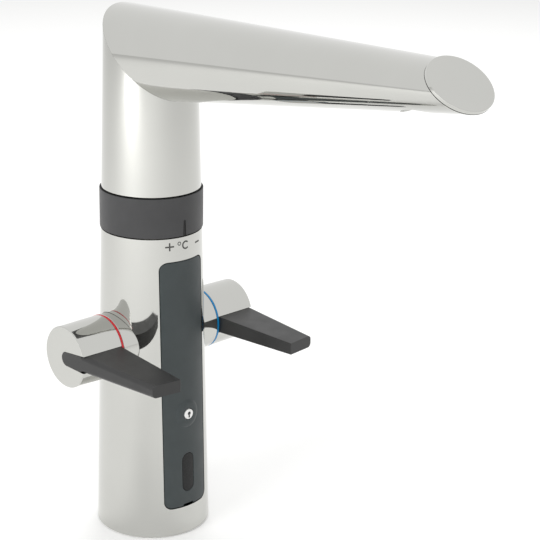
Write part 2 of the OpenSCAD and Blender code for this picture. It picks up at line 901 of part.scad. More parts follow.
module tray_screws() {
    color(steel)
    for (x = [-tray_screw_x, tray_screw_x]) translate([x, 0, 0]) to_front(handle_z) {
        translate([0, 0, core_front - tray_screw_depth + seat])
            cylinder(h = tray_back - core_front + tray_screw_depth + tray_screw_head, r = small_screw_r);
        translate([0, 0, tray_back + seat]) cylinder(h = tray_screw_head, r = 2 * small_screw_r);
    }
}

module circuit_board() {
    color(board_green)
    translate([-board_half_w, -board_front, board_z]) cube([2 * board_half_w, board_t, board_h]);
}

module sensor_module() {
    color(black)
    translate([-sensor_w / 2, -sensor_front, window_z])
        cube([sensor_w, sensor_front - board_front - seat, window_h]);
}

module sensor_lenses() {
    color(slate)
    for (z = [window_z + window_h / 4, window_z + window_h * 3 / 4])
        translate([0, -sensor_front - seat, z]) intersection() {
            sphere(r = lens_r);
            translate([-far / 2, -far, -far / 2]) cube([far, far, far]);
        }
}

module button_switch() {
    color(steel)
    union() {
        translate([-switch_w / 2, -board_front - seat - switch_body_t, button_z - switch_w / 2])
            cube([switch_w, switch_body_t, switch_w]);
        translate([0, -board_front - seat, 0]) to_front(button_z)
            cylinder(h = switch_front - board_front - seat, r = switch_w / 4);
    }
}

module button_cap() {
    color(white)
    to_front(button_z) {
        translate([0, 0, button_flange_front - button_flange_t])
            cylinder(h = button_face - button_flange_front + button_flange_t, r = button_d / 2);
        translate([0, 0, button_flange_front - button_flange_t])
            cylinder(h = button_flange_t, r = button_flange_r);
    }
}

module battery_holder() {
    color(black)
    translate([0, -cell_y, inlet_t + seat])
        difference() {
            cylinder(h = holder_floor + cell_len + 3 * seat + holder_lip, r = cell_r + seat + holder_wall);
            translate([0, 0, holder_floor]) cylinder(h = far, r = cell_r + seat);
            translate([-cell_r / 2, 0, holder_floor + holder_lip]) cube([cell_r, far, far]);
        }
}

module battery_cell() {
    button_r = cell_r * cell_button_ratio;
    color(steel)
    translate([0, -cell_y, cell_z + seat]) {
        cylinder(h = cell_len - cell_button_h, r = cell_r);
        cylinder(h = cell_len, r = button_r);
    }
}

module solenoid_coil() {
    color(black)
    to_front(solenoid_z) translate([0, 0, core_r + seat]) difference() {
        cylinder(h = coil_len, r = coil_r);
        translate([0, 0, -cut]) cylinder(h = far, r = guide_r + seat);
    }
}

module solenoid_tube() {
    flange_back = core_r - solenoid_socket_depth + seat;
    color(steel)
    to_front(solenoid_z) difference() {
        union() {
            translate([0, 0, flange_back]) cylinder(h = guide_flange_t, r = solenoid_socket_r - seat);
            translate([0, 0, flange_back]) cylinder(h = guide_end - flange_back, r = guide_r);
        }
        cylinder(h = guide_end - guide_wall, r = guide_r - guide_wall);
    }
}

module solenoid_plunger() {
    color(steel)
    to_front(solenoid_z) translate([0, 0, plunger_back]) cylinder(h = plunger_len, r = plunger_r);
}

module front_panel() {
    color(slate)
    difference() {
        union() {
            intersection() {
                wall_layer(0, panel_t);
                front_bar(2 * panel_half_w, panel_z, panel_h, panel_corner);
            }
            translate([0, boss_root - panel_front, 0]) to_front(button_z)
                cylinder(h = boss_root + boss_rise,
                    r1 = boss_d / 2 + boss_flare, r2 = boss_d / 2 - boss_slope);
        }
        window_bar(window_gap);
        to_front(button_z) cylinder(h = far, r = button_d / 2 + button_clear);
        translate([-notch_w / 2, -far, panel_z - cut]) cube([notch_w, far, notch_h + cut]);
    }
}

module sensor_window() {
    color(black)
    union() {
        intersection() {
            wall_layer(seat, panel_t + window_lip);
            window_bar(0);
        }
        intersection() {
            wall_layer(panel_t + seat, panel_t + window_lip);
            window_bar(window_lip);
        }
    }
}

module temperature_collar() {
    color(graphite)
    rotate([0, 0, pointer_angle]) difference() {
        union() {
            ring(collar_r, collar_r - collar_wall, collar_z, collar_h);
            ring(collar_r - cut, collar_web_r, collar_z, drive_z);
        }
        translate([0, pointer_depth - collar_r, 0]) to_front(0) linear_extrude(far) polygon([
            [-pointer_w / 2, collar_z - cut], [pointer_w / 2, collar_z - cut],
            [pointer_w / 4, collar_z + pointer_h], [-pointer_w / 4, collar_z + pointer_h]]);
        arc_slot(collar_stop_circle, collar_stop_r + clear, collar_turn, collar_z, drive_z);
    }
}

module drive_plate() {
    color(brass)
    ring(collar_r - collar_wall - seat, sleeve_r + seat, collar_z + drive_z + seat, drive_t - 2 * seat);
}

module mixing_sleeve() {
    color(acetal)
    difference() {
        ring(sleeve_r, spigot_r + running, sleeve_z, collar_z + drive_z + drive_t - sleeve_z);
        for (a = [-sleeve_hole_turn, sleeve_hole_turn]) rotate([0, 0, a])
            to_front(sleeve_z + sleeve_hole_rise) cylinder(h = far, r = sleeve_hole_r);
    }
}

// Half-space above the mitre
module above_mitre() {
    translate([0, 0, mitre_z]) rotate([mitre_slope, 0, 0])
        translate([-far, -far, 0]) cube(2 * far);
}

module spout_riser() {
    color(chrome)
    difference() {
        body_cone(riser_z, mitre_top);
        body_cone(riser_z - cut, mitre_top + cut, riser_wall);
        above_mitre();
        to_back(riser_screw_z) cylinder(h = far, r = small_screw_r + seat);
    }
}

module riser_set_screw() {
    to_back(riser_screw_z) translate([0, 0, body_r(riser_screw_z) - riser_screw_sink])
        grub_screw(small_screw_r, riser_screw_len);
}

module lower_bush() {
    color(acetal)
    difference() {
        union() {
            disc(spigot_flange_r, lower_bush_z, riser_z - lower_bush_z);
            body_cone(riser_z, lower_bush_z + lower_bush_h, riser_wall + running);
            translate([0, stop_pin_circle, 0]) disc(stop_pin_r, lower_bush_z, lower_bush_h + stop_ring_t);
        }
        disc(spigot_r + running, lower_bush_z - cut, far);
        to_back(riser_screw_z)
            translate([0, 0, body_r(riser_screw_z) - riser_screw_sink - riser_screw_len - seat])
                cylinder(h = far, r = small_screw_r + seat);
    }
}

module upper_bush() {
    color(acetal)
    difference() {
        body_cone(upper_bush_z, upper_bush_z + upper_bush_h - bush_margin, riser_wall + running);
        disc(spigot_r + running, upper_bush_z - cut, far);
    }
}

// Thin plate in the mitre plane with the arm's outline, set in by a wall and lowered by a depth
module mitre_plate(inset, depth = 0) {
    step = 360 / hull_fn;
    translate([0, 0, mitre_z]) rotate([mitre_slope, 0, 0]) translate([0, 0, seat - depth])
        linear_extrude(plate_t) polygon([for (i = [0 : hull_fn - 1]) mitre_point(i * step, inset)]);
}

// Places an outline in the plane of the end face, at a depth behind it
module at_end_face(depth) {
    translate([0, -spout_reach, tip_z]) rotate([quarter_turn - end_tilt, 0, 0])
        translate([0, 0, -depth]) children();
}

// Oval of the end face, set in at the sides and, by slant_inset, at its top and bottom
module end_outline(inset, slant_inset) {
    step = 360 / hull_fn;
    polygon([for (i = [0 : hull_fn - 1])
        [(end_half_w - inset) * sin(i * step), (end_half_h - slant_inset) * cos(i * step)]]);
}

module spout_arm() {
    color(chrome)
    difference() {
        hull() {
            mitre_plate(0);
            at_end_face(end_plate_t + end_gap) linear_extrude(plate_t) end_outline(0, 0);
        }
        hull() {
            mitre_plate(arm_wall, 2 * seat);
            at_end_face(end_plate_t + end_gap) linear_extrude(2 * plate_t)
                end_outline(arm_wall, 2 * arm_wall);
        }
        at_aerator() disc(aerator_r, -far / 2, far / 2 + aerator_recess + aerator_h);
    }
}

module spout_end_plate() {
    color(chrome)
    union() {
        at_end_face(end_plate_t) linear_extrude(end_plate_t) end_outline(plate_bevel, plate_bevel);
        at_end_face(end_plate_t) linear_extrude(end_plate_t - plate_bevel) end_outline(0, 0);
        at_end_face(end_plate_t + plate_plug_t) linear_extrude(plate_plug_t + plate_bevel)
            end_outline(arm_wall + plug_inset, 2 * arm_wall + plug_inset);
    }
}

// Frame of the aerator: +Z points into the arm, square to its lowest line
module at_aerator() {
    translate([0, -aerator_reach, aerator_z]) rotate([-under_slope, 0, 0]) children();
}

module aerator_ring() {
    color(chrome)
    at_aerator() ring(aerator_r - seat, aerator_r - aerator_ring_wall, aerator_recess, aerator_h - seat);
}

module aerator_insert() {
    holes_top = aerator_recess + insert_inset + insert_hole_depth;
    color(acetal)
    at_aerator() difference() {
        disc(aerator_r - aerator_ring_wall - seat, aerator_recess + insert_inset, aerator_h - insert_short);
        for (n = [1 : 2], i = [0 : 6 * n - 1]) rotate([0, 0, i * 360 / (6 * n)])
            translate([n * insert_pitch, 0, 0]) disc(insert_hole_r, 0, holes_top);
        disc(insert_hole_r, 0, holes_top);
    }
}

// Brazed cup over the aerator, fed from behind by the inner tube
module aerator_seat() {
    cup_z = aerator_recess + aerator_h;
    color(brass)
    difference() {
        at_aerator() difference() {
            disc(aerator_r - cup_inset, cup_z, aerator_cup_h);
            disc(aerator_r - cup_inset - aerator_seat_wall, cup_z - cut, aerator_cup_h + cut - cup_margin);
        }
        inner_line() cylinder(h = inner_end + 1, r = inner_tube_r + seat);
    }
}

// Line of the inner tube, along +Z from the column's axis to the aerator
module inner_line() {
    translate([0, 0, port_z]) rotate([quarter_turn - inner_slope, 0, 0]) children();
}

module inner_tube() {
    color(acetal)
    inner_line() ring(inner_tube_r, inner_tube_r - inner_wall, port_socket + seat, inner_end - port_socket);
}

// Brass cap that turns on the spigot and leads the water into the inner tube
module tube_socket() {
    color(brass)
    difference() {
        union() {
            disc(socket_r, socket_z, socket_top - socket_z);
            disc(port_well_r + port_wall, socket_top - cut,
                port_z + port_boss_r - socket_top + cut + port_wall);
            inner_line() cylinder(h = port_len, r = port_boss_r);
        }
        disc(spigot_r + running, socket_z - cut, spigot_top + clear - socket_z + cut);
        disc(port_well_r, socket_z, port_z + inner_tube_r - socket_z);
        inner_line() cylinder(h = port_len + cut, r = inner_tube_r - inner_wall);
        inner_line() translate([0, 0, port_socket]) cylinder(h = port_len, r = inner_tube_r + seat);
    }
}

column_shell();
deck_gasket();
inlet_block();
base_set_screw();
supply_tubes();
tie_rods();
valve_core();
hot_side() headwork();  // hot_headwork
headwork();  // cold_headwork
both_sides() fixed_disc();  // fixed_discs
hot_side() neck();  // hot_neck
neck();  // cold_neck
swivel_spigot();
spigot_seals();
collar_washer();
collar_stop_pin();
bearing_washer();
swivel_stop_ring();
electronics_tray();
tray_screws();
circuit_board();
sensor_module();
sensor_lenses();
button_switch();
battery_holder();
battery_cell();
solenoid_coil();
solenoid_tube();
front_panel();
sensor_window();
button_cap();
solenoid_plunger();
temperature_collar();
drive_plate();
mixing_sleeve();
spout_riser();
spout_arm();
spout_end_plate();
lower_bush();
upper_bush();
riser_set_screw();
tube_socket();
inner_tube();
aerator_seat();
aerator_ring();
aerator_insert();
hot_side() spindle();  // hot_spindle
spindle();  // cold_spindle
hot_side() turning_disc();  // hot_turning_disc
turning_disc();  // cold_turning_disc
hot_side() adapter();  // hot_adapter
adapter();  // cold_adapter
hot_side() hub();  // hot_hub
hub();  // cold_hub
hot_side() lever();  // hot_lever
lever();  // cold_lever
hot_side() coloured_ring(hot_red);  // hot_ring
coloured_ring(cold_blue);  // cold_ring
hot_side() handle_grub_screw();  // hot_grub_screw
handle_grub_screw();  // cold_grub_screw
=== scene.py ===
"""Dresses the touchless kitchen mixer tap: chromed shells, moulded levers, the panel and its small pieces."""

import math

import bmesh
import bpy
from bpy.props import FloatProperty, FloatVectorProperty
from mathutils import Matrix, Vector


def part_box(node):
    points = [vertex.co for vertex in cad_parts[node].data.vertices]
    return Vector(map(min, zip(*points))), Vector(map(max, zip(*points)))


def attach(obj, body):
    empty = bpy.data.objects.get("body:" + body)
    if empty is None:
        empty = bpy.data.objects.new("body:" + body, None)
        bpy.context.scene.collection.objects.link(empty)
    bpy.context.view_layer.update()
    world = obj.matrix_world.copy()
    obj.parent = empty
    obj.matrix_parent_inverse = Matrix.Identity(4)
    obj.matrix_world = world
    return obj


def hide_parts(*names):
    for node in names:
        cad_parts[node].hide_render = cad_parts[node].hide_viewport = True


bl_info = {
    "name": "Touchless mixer tap",
    "version": (1, 0, 0),
    "blender": (4, 5, 0),
    "location": "View3D > Sidebar > Mixer tap",
    "description": "Makes the pieces and finishes of a kitchen mixer tap",
    "category": "Object",
}

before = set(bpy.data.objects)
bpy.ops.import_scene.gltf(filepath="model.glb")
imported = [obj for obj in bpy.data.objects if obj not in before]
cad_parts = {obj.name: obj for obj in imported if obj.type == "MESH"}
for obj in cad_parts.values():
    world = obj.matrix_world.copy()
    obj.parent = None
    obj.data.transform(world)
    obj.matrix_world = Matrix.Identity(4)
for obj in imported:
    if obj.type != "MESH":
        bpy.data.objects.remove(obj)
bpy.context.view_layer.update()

MM = 0.001
STEPS = 256
OVERLAP = 1.0
HOT, COLD = -1, 1


def linear(code):
    """Linear colour of an sRGB hex code."""
    channels = [int(code[i : i + 2], 16) / 255 for i in (1, 3, 5)]
    return tuple(c / 12.92 if c <= 0.04045 else ((c + 0.055) / 1.055) ** 2.4 for c in channels)


def length(name, text, value):
    return FloatProperty(name=name, description=text, default=value, unit="LENGTH", precision=5, min=0)


def colour(name, text, code):
    return FloatVectorProperty(
        name=name, description=text, default=linear(code), subtype="COLOR", size=3, min=0, max=1
    )


class TapSizes(bpy.types.PropertyGroup):
    """Sizes of the pieces, as on the solids they cover."""

    base_radius: length("Foot radius", "Outer radius of the column at the deck", 0.030)
    taper: FloatProperty(
        name="Taper", description="Radius lost for each unit of height", default=0.0248, precision=4
    )
    column_height: length("Column height", "Height of the fixed column", 0.1636)
    column_wall: length("Column wall", "Wall of the column shell", 0.0026)
    flange: length("Top flange", "Thickness of the flange that closes the column", 0.004)
    foot_chamfer: length("Foot chamfer", "Chamfer round the foot", 0.0006)
    panel_low: length("Panel foot", "Height of the panel's lower edge", 0.0159)
    panel_high: length("Panel top", "Height of the panel's upper edge", 0.1506)
    panel_half: length("Panel half width", "Half the width of the panel", 0.0135)
    panel_corner: length("Panel corner", "Corner radius of the panel", 0.0038)
    panel_depth: length("Panel thickness", "Wall of the panel", 0.0022)
    panel_gap: length("Panel gap", "Gap round the panel", 0.0005)
    window_low: length("Window foot", "Height of the sensor window's lower end", 0.0239)
    window_width: length("Window width", "Width of the sensor window", 0.0074)
    window_height: length("Window height", "Height of the sensor window", 0.0215)
    button_height: length("Button height", "Height of the button's middle", 0.0677)
    button_radius: length("Button radius", "Radius of the button", 0.0027)
    boss_radius: length("Boss radius", "Radius of the raised boss round the button", 0.0075)
    boss_rise: length("Boss rise", "Height of the boss over the panel", 0.0011)
    handle_height: length("Handle axis", "Height of the handles' axis", 0.1052)
    neck_radius: length("Neck radius", "Radius of the fixed necks", 0.0163)
    neck_reach: length("Neck reach", "Distance of a neck's end from the column's axis", 0.0313)
    ring_width: length("Ring width", "Width of a coloured ring", 0.00105)
    hub_length: length("Hub length", "Length of a handle's hub", 0.024)
    hub_radius: length("Hub radius", "Radius of a hub beside its ring", 0.0162)
    hub_end_radius: length("Hub end radius", "Radius of a hub at its end face", 0.0159)
    hub_chamfer: length("Hub chamfer", "Chamfer round a hub's end face", 0.00045)
    lever_reach: length("Lever reach", "Reach of a lever in front of the axis", 0.0663)
    lever_tip: length("Lever tip", "Thickness of a lever at its tip", 0.0062)
    lever_root: length("Lever root", "Thickness of a lever where it leaves the hub", 0.0088)
    lever_nose: length("Lever nose", "Radius of the lever's root in the hub", 0.0036)
    collar_radius: length("Collar radius", "Outer radius of the temperature collar", 0.0264)
    collar_height: length("Collar height", "Height of the temperature collar", 0.0204)
    collar_wall: length("Collar wall", "Wall of the temperature collar", 0.003)
    running_gap: length("Running gap", "Gap over and under the collar", 0.0003)
    mitre_height: length("Mitre height", "Height where the mitre crosses the axis", 0.2538)
    mitre_slope: FloatProperty(
        name="Mitre slope", description="Slope of the mitre", default=math.radians(41.7), subtype="ANGLE"
    )
    riser_wall: length("Riser wall", "Wall of the spout's upright tube", 0.0015)
    arm_wall: length("Arm wall", "Wall of the spout's arm", 0.0012)
    spout_reach: length("Spout reach", "Distance of the end face's middle from the axis", 0.1993)
    spout_rise: length("Spout rise", "Height of the end face's middle above the mitre's", 0.0168)
    end_tilt: FloatProperty(
        name="End tilt", description="Tilt of the end face back from upright",
        default=math.radians(50.5), subtype="ANGLE",
    )
    end_half_width: length("End half width", "Half the width of the end face", 0.0172)
    end_half_height: length("End half height", "Half the height of the end face", 0.0151)
    end_plate: length("End plate", "Thickness of the end plate", 0.0018)
    aerator_reach: length("Aerator reach", "Distance of the aerator from the axis", 0.1813)
    aerator_radius: length("Aerator radius", "Radius of the aerator's opening", 0.011)
    aerator_recess: length("Aerator recess", "Depth of the aerator in its opening", 0.0024)
    aerator_height: length("Aerator height", "Height of the aerator's ring", 0.00595)


class TapColours(bpy.types.PropertyGroup):
    """Colours of the finishes, as sRGB codes turned to linear."""

    chrome: colour("Chrome", "Plated shells", "#C6C6C2")
    graphite: colour("Graphite", "Levers", "#2A2A2A")
    collar: colour("Collar", "Temperature collar", "#39393A")
    slate: colour("Slate", "Front panel", "#343B3C")
    window: colour("Window", "Sensor window", "#08090A")
    button: colour("Button", "Push button", "#F8F8F6")
    ink: colour("Ink", "Printed marks", "#474745")
    hot: colour("Hot", "Ring of the hot handle", "#D22630")
    cold: colour("Cold", "Ring of the cold handle", "#0087C6")
    brass: colour("Brass", "Water-bearing bodies", "#B9975B")
    copper: colour("Copper", "Supply tubes and windings", "#B8734A")
    steel: colour("Steel", "Rods and screws", "#9A9DA0")


def size(name):
    """A size from the scene's properties, in millimetres."""
    return getattr(bpy.context.scene.tap_sizes, name) / MM


def angle(name):
    return getattr(bpy.context.scene.tap_sizes, name)


def body_radius(height):
    """Outer radius of the tapered column and riser at a height, in millimetres."""
    return size("base_radius") - angle("taper") * height


# ---------------------------------------------------------------- shapes


def turned(profile, steps=STEPS):
    """Turns a closed profile of (radius, height) points into a watertight shape round Z."""
    shape = bmesh.new()
    points = [shape.verts.new((radius, 0, height)) for radius, height in profile]
    edges = [
        shape.edges.new((a, b))
        for a, b in zip(points, points[1:] + points[:1])
        if a.co.x or b.co.x
    ]
    bmesh.ops.spin(
        shape, geom=points + edges, axis=(0, 0, 1), cent=(0, 0, 0), angle=math.tau, steps=steps,
        use_merge=True, use_duplicate=False,
    )
    bmesh.ops.remove_doubles(shape, verts=shape.verts, dist=1e-4)
    bmesh.ops.recalc_face_normals(shape, faces=shape.faces)
    return shape


def soften(shape, chosen, offset, segments=3):
    """Rounds the chosen edges of a shape."""
    bmesh.ops.bevel(
        shape, geom=chosen, offset=offset, offset_type="OFFSET", segments=segments, profile=0.5,
        affect="EDGES", material=-1, clamp_overlap=True,
    )
    return shape


def creases(shape, least=35):
    """Edges whose faces meet at more than an angle, in degrees."""
    return [e for e in shape.edges if len(e.link_faces) == 2 and e.calc_face_angle(0) > math.radians(least)]


def prism(outline, start, end):
    """Straight bar along Z from a flat outline of (x, y) points."""
    shape = bmesh.new()
    face = shape.faces.new([shape.verts.new((x, y, start)) for x, y in outline])
    raised = bmesh.ops.extrude_face_region(shape, geom=[face], use_keep_orig=True)
    moved = [v for v in raised["geom"] if isinstance(v, bmesh.types.BMVert)]
    bmesh.ops.translate(shape, verts=moved, vec=(0, 0, end - start))
    bmesh.ops.recalc_face_normals(shape, faces=shape.faces)
    return shape


def rounded_bar(width, height, corner, start, end, segments=12):
    """Bar along Z with a rounded rectangle for its outline."""
    flat = bmesh.new()
    bmesh.ops.create_grid(flat, x_segments=1, y_segments=1, size=0.5)
    bmesh.ops.scale(flat, verts=flat.verts, vec=(width, height, 1))
    bmesh.ops.bevel(
        flat, geom=flat.verts[:], offset=corner, offset_type="OFFSET", segments=segments, profile=0.5,
        affect="VERTICES", material=-1,
    )
    bmesh.ops.remove_doubles(flat, verts=flat.verts, dist=1e-4)
    flat.faces.ensure_lookup_table()
    outline = [tuple(v.co.xy) for v in flat.faces[0].verts]
    flat.free()
    return prism(outline, start, end)


def place(shape, matrix):
    bmesh.ops.transform(shape, matrix=matrix, verts=shape.verts)
    return shape


def carve(shape, cutter, operation="DIFFERENCE"):
    """Cuts a shape with another and gives the result."""
    objects = []
    for part in (shape, cutter):
        mesh = bpy.data.meshes.new("carving")
        part.to_mesh(mesh)
        part.free()
        objects.append(bpy.data.objects.new("carving", mesh))
        bpy.context.scene.collection.objects.link(objects[-1])
    block, tool = objects
    modifier = block.modifiers.new("Carve", "BOOLEAN")
    modifier.operation = operation
    modifier.solver = "EXACT"
    modifier.object = tool
    result = bmesh.new()
    result.from_object(block, bpy.context.evaluated_depsgraph_get())
    for leftover in objects:
        mesh = leftover.data
        bpy.data.objects.remove(leftover)
        bpy.data.meshes.remove(mesh)
    if not result.faces:
        raise RuntimeError("a cut left nothing of a piece")
    bmesh.ops.remove_doubles(result, verts=result.verts, dist=1e-4)
    bmesh.ops.dissolve_degenerate(result, edges=result.edges, dist=1e-4)
    return result


def trim(shape, point, outwards):
    """Cuts off what lies beyond a plane and closes the cut."""
    cut = bmesh.ops.bisect_plane(
        shape, geom=shape.verts[:] + shape.edges[:] + shape.faces[:], plane_co=point, plane_no=outwards,
        clear_outer=True,
    )
    rim = [e for e in cut["geom_cut"] if isinstance(e, bmesh.types.BMEdge)]
    bmesh.ops.holes_fill(shape, edges=rim, sides=0)
    bmesh.ops.recalc_face_normals(shape, faces=shape.faces)
    return shape


def slice_up(shape, across, positions):
    """Adds cuts square to an axis, so that a flat shape can follow a curve."""
    for position in positions:
        bmesh.ops.bisect_plane(
            shape, geom=shape.verts[:] + shape.edges[:] + shape.faces[:],
            plane_co=Vector(across) * position, plane_no=across,
        )


def loft(rows):
    """Skin over rows of points, each row a closed ring with as many points as the first."""
    shape = bmesh.new()
    ring = [shape.verts.new(p) for p in rows[0]]
    edges = [shape.edges.new((a, b)) for a, b in zip(ring, ring[1:] + ring[:1])]
    for row in rows[1:]:
        grown = bmesh.ops.extrude_edge_only(shape, edges=edges)["geom"]
        added = {v for v in grown if isinstance(v, bmesh.types.BMVert)}
        edges = [e for e in grown if isinstance(e, bmesh.types.BMEdge) and set(e.verts) <= added]
        ring = [next(e.other_vert(v) for e in v.link_edges if e.other_vert(v) in added) for v in ring]
        for vert, point in zip(ring, row):
            vert.co = point
    bmesh.ops.remove_doubles(shape, verts=shape.verts, dist=1e-4)
    bmesh.ops.recalc_face_normals(shape, faces=shape.faces)
    return shape


def round_walls(origin, axis, walls):
    """Exact normals of turned walls, each given by its radius at the origin and its taper."""
    origin, axis = Vector(origin), Vector(axis)

    def normal(spot, facing):
        along = (spot - origin).dot(axis)
        radial = spot - origin - axis * along
        radius = radial.length
        for start, taper in walls:
            if radius > 1 and abs(radius - start + taper * along) < 0.03:
                out = (radial / radius + axis * taper).normalized()
                if abs(out.dot(facing)) > 0.97:
                    return out if out.dot(facing) > 0 else -out
        return None

    return normal


def shade(mesh, exact=None, limit=35):
    """Gives each corner the exact normal of a turned wall, or else its smooth faces' normal by area."""
    mesh.polygons.foreach_set("use_smooth", [True] * len(mesh.polygons))
    shape = bmesh.new()
    shape.from_mesh(mesh)
    shape.faces.ensure_lookup_table()
    areas = [face.calc_area() for face in shape.faces]
    least = math.cos(math.radians(limit))
    normals = []
    for face in shape.faces:
        for vert in face.verts:
            normal = exact(vert.co / MM, face.normal) if exact else None
            if normal is None:
                normal = Vector()
                for near in vert.link_faces:
                    if near.normal.dot(face.normal) > least:
                        normal += near.normal * areas[near.index]
            normals.append(normal.normalized() if normal.length else face.normal)
    shape.free()
    mesh.normals_split_custom_set(normals)


def make_piece(shape, name, material, body, replaced=(), exact=None, limit=35):
    """Turns a shape in millimetres into a finished piece that rides on a body."""
    bmesh.ops.scale(shape, verts=shape.verts, vec=(MM, MM, MM))
    mesh = bpy.data.meshes.new(name)
    shape.to_mesh(mesh)
    shape.free()
    mesh.materials.append(material)
    shade(mesh, exact, limit)
    piece = bpy.data.objects.new(name, mesh)
    bpy.context.scene.collection.objects.link(piece)
    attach(piece, body)
    if replaced:
        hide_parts(*replaced)
    return piece


def sideways(side):
    """Turns what stands on Z to point along X from the handles' axis, to the hot or the cold side."""
    turn = Matrix.Rotation(side * math.pi / 2, 4, "Y")
    return Matrix.Translation((0, 0, size("handle_height"))) @ turn


def frontwards(height):
    """Turns what stands on Z to point to the front from the column's axis."""
    return Matrix.Translation((0, 0, height)) @ Matrix.Rotation(math.pi / 2, 4, "X")


def side_name(side):
    return "hot" if side == HOT else "cold"


# ---------------------------------------------------------------- materials


def add(tree, kind, links=None, stops=None, **settings):
    """Adds a node with its settings and links. A link is a socket, or a plain value for the input."""
    node = tree.nodes.new(kind)
    for key, value in settings.items():
        setattr(node, key, value)
    for key, value in (links or {}).items():
        if isinstance(value, bpy.types.NodeSocket):
            tree.links.new(value, node.inputs[key])
        else:
            node.inputs[key].default_value = value
    if stops:
        ramp = node.color_ramp
        while len(ramp.elements) > 1:
            ramp.elements.remove(ramp.elements[-1])
        ramp.elements[0].position = stops[0][0]
        ramp.elements[0].color = (*stops[0][1], 1)
        for position, shade_of in stops[1:]:
            ramp.elements.new(position).color = (*shade_of, 1)
    return node


def opaque(rgb):
    return (*rgb, 1)


def new_material(name, **sockets):
    """A material with a principled shader whose sockets take the given values."""
    material = bpy.data.materials.get(name)
    if material:
        return material, None, None, None
    material = bpy.data.materials.new(name)
    material.use_nodes = True
    tree = material.node_tree
    tree.nodes.clear()
    shader = add(tree, "ShaderNodeBsdfPrincipled", {k.replace("_", " "): v for k, v in sockets.items()})
    add(tree, "ShaderNodeOutputMaterial", {"Surface": shader.outputs["BSDF"]})
    where = add(tree, "ShaderNodeTexCoord").outputs["Object"]
    return material, tree, shader, where


def mottled(tree, shader, where, rgb, spread, grain_mm):
    """Varies a colour a little over patches of a real size."""
    patches = add(
        tree, "ShaderNodeTexNoise", {"Vector": where, "Scale": 1 / (grain_mm * MM), "Detail": 2.0}
    )
    dark = tuple(c * (1 - spread) for c in rgb)
    light = tuple(min(1.0, c * (1 + spread)) for c in rgb)
    tint = add(
        tree, "ShaderNodeValToRGB", {"Fac": patches.outputs["Fac"]}, stops=[(0.3, dark), (0.7, light)]
    )
    tree.links.new(tint.outputs["Color"], shader.inputs["Base Color"])
    return patches


def worn(tree, shader, where, low, high, patch_mm):
    """Varies the roughness over patches of a real size."""
    patches = add(
        tree, "ShaderNodeTexNoise", {"Vector": where, "Scale": 1 / (patch_mm * MM), "Detail": 3.0}
    )
    level = add(
        tree, "ShaderNodeMapRange",
        {"Value": patches.outputs["Fac"], "From Min": 0.3, "From Max": 0.7, "To Min": low, "To Max": high},
    )
    tree.links.new(level.outputs["Result"], shader.inputs["Roughness"])


def grained(tree, shader, where, grain_mm, height_mm, strength):
    """Raises a fine moulded or cast grain of a real size."""
    grain = add(
        tree, "ShaderNodeTexNoise", {"Vector": where, "Scale": 1 / (grain_mm * MM), "Detail": 2.0}
    )
    bump = add(
        tree, "ShaderNodeBump",
        {"Height": grain.outputs["Fac"], "Distance": height_mm * MM, "Strength": strength},
    )
    tree.links.new(bump.outputs["Normal"], shader.inputs["Normal"])


def chrome_plate():
    """Decorative chrome over polished, nickel-plated brass: a faintly warm mirror with slight orange peel."""
    rgb = bpy.context.scene.tap_colours.chrome
    material, tree, shader, where = new_material("chrome plate", Metallic=1.0)
    if tree:
        mottled(tree, shader, where, rgb, 0.012, 30)
        # Hand polishing leaves soft patches a few centimetres wide
        worn(tree, shader, where, 0.035, 0.06, 24)
        # Orange peel of the plating is drawn 9 mm from crest to crest and up to two microns high
        grained(tree, shader, where, 9, 0.002, 0.25)
    return material


def moulded(name, rgb, roughness, grain_mm=0.45, height_mm=0.02, strength=0.35, spread=0.05):
    """Glass-filled nylon or ABS from an eroded mould: a dull skin whose grain breaks up the highlight."""
    material, tree, shader, where = new_material(name, IOR=1.5)
    if tree:
        mottled(tree, shader, where, rgb, spread, 7)
        worn(tree, shader, where, roughness - 0.04, roughness + 0.04, 11)
        # Real spark-eroded grain is near 0.05 mm, and is drawn coarser so that it shows
        grained(tree, shader, where, grain_mm, height_mm, strength)
    return material


def glossy_plastic(name, rgb, roughness):
    """ABS from a polished mould: even colour, a clear highlight and a slight ripple."""
    material, tree, shader, where = new_material(name, IOR=1.52)
    if tree:
        mottled(tree, shader, where, rgb, 0.02, 5)
        worn(tree, shader, where, roughness, roughness + 0.05, 6)
        grained(tree, shader, where, 6, 0.004, 0.3)
    return material


def window_polycarbonate():
    """Infrared-clear polycarbonate: looks black, with a clear polished skin over the sensor."""
    rgb = bpy.context.scene.tap_colours.window
    material, tree, shader, where = new_material(
        "window polycarbonate", IOR=1.5, Specular_IOR_Level=0.35
    )
    if tree:
        mottled(tree, shader, where, rgb, 0.06, 4)
        worn(tree, shader, where, 0.22, 0.3, 5)
        grained(tree, shader, where, 3, 0.003, 0.2)
    return material


def printed_ink():
    """Pad-printed ink on the chrome: thin, flat grey with a slightly dry edge."""
    rgb = bpy.context.scene.tap_colours.ink
    material, tree, shader, where = new_material("printed ink", IOR=1.48)
    if tree:
        mottled(tree, shader, where, rgb, 0.08, 0.6)
        worn(tree, shader, where, 0.5, 0.62, 1.5)
        grained(tree, shader, where, 0.3, 0.004, 0.3)
    return material


def nitrile_rubber():
    """Moulded nitrile: near black with a dull, slightly dusty skin."""
    material, tree, shader, where = new_material("nitrile rubber", IOR=1.52)
    if tree:
        mottled(tree, shader, where, linear("#1E1F20"), 0.12, 4)
        worn(tree, shader, where, 0.72, 0.85, 5)
        grained(tree, shader, where, 0.5, 0.03, 0.4)
    return material


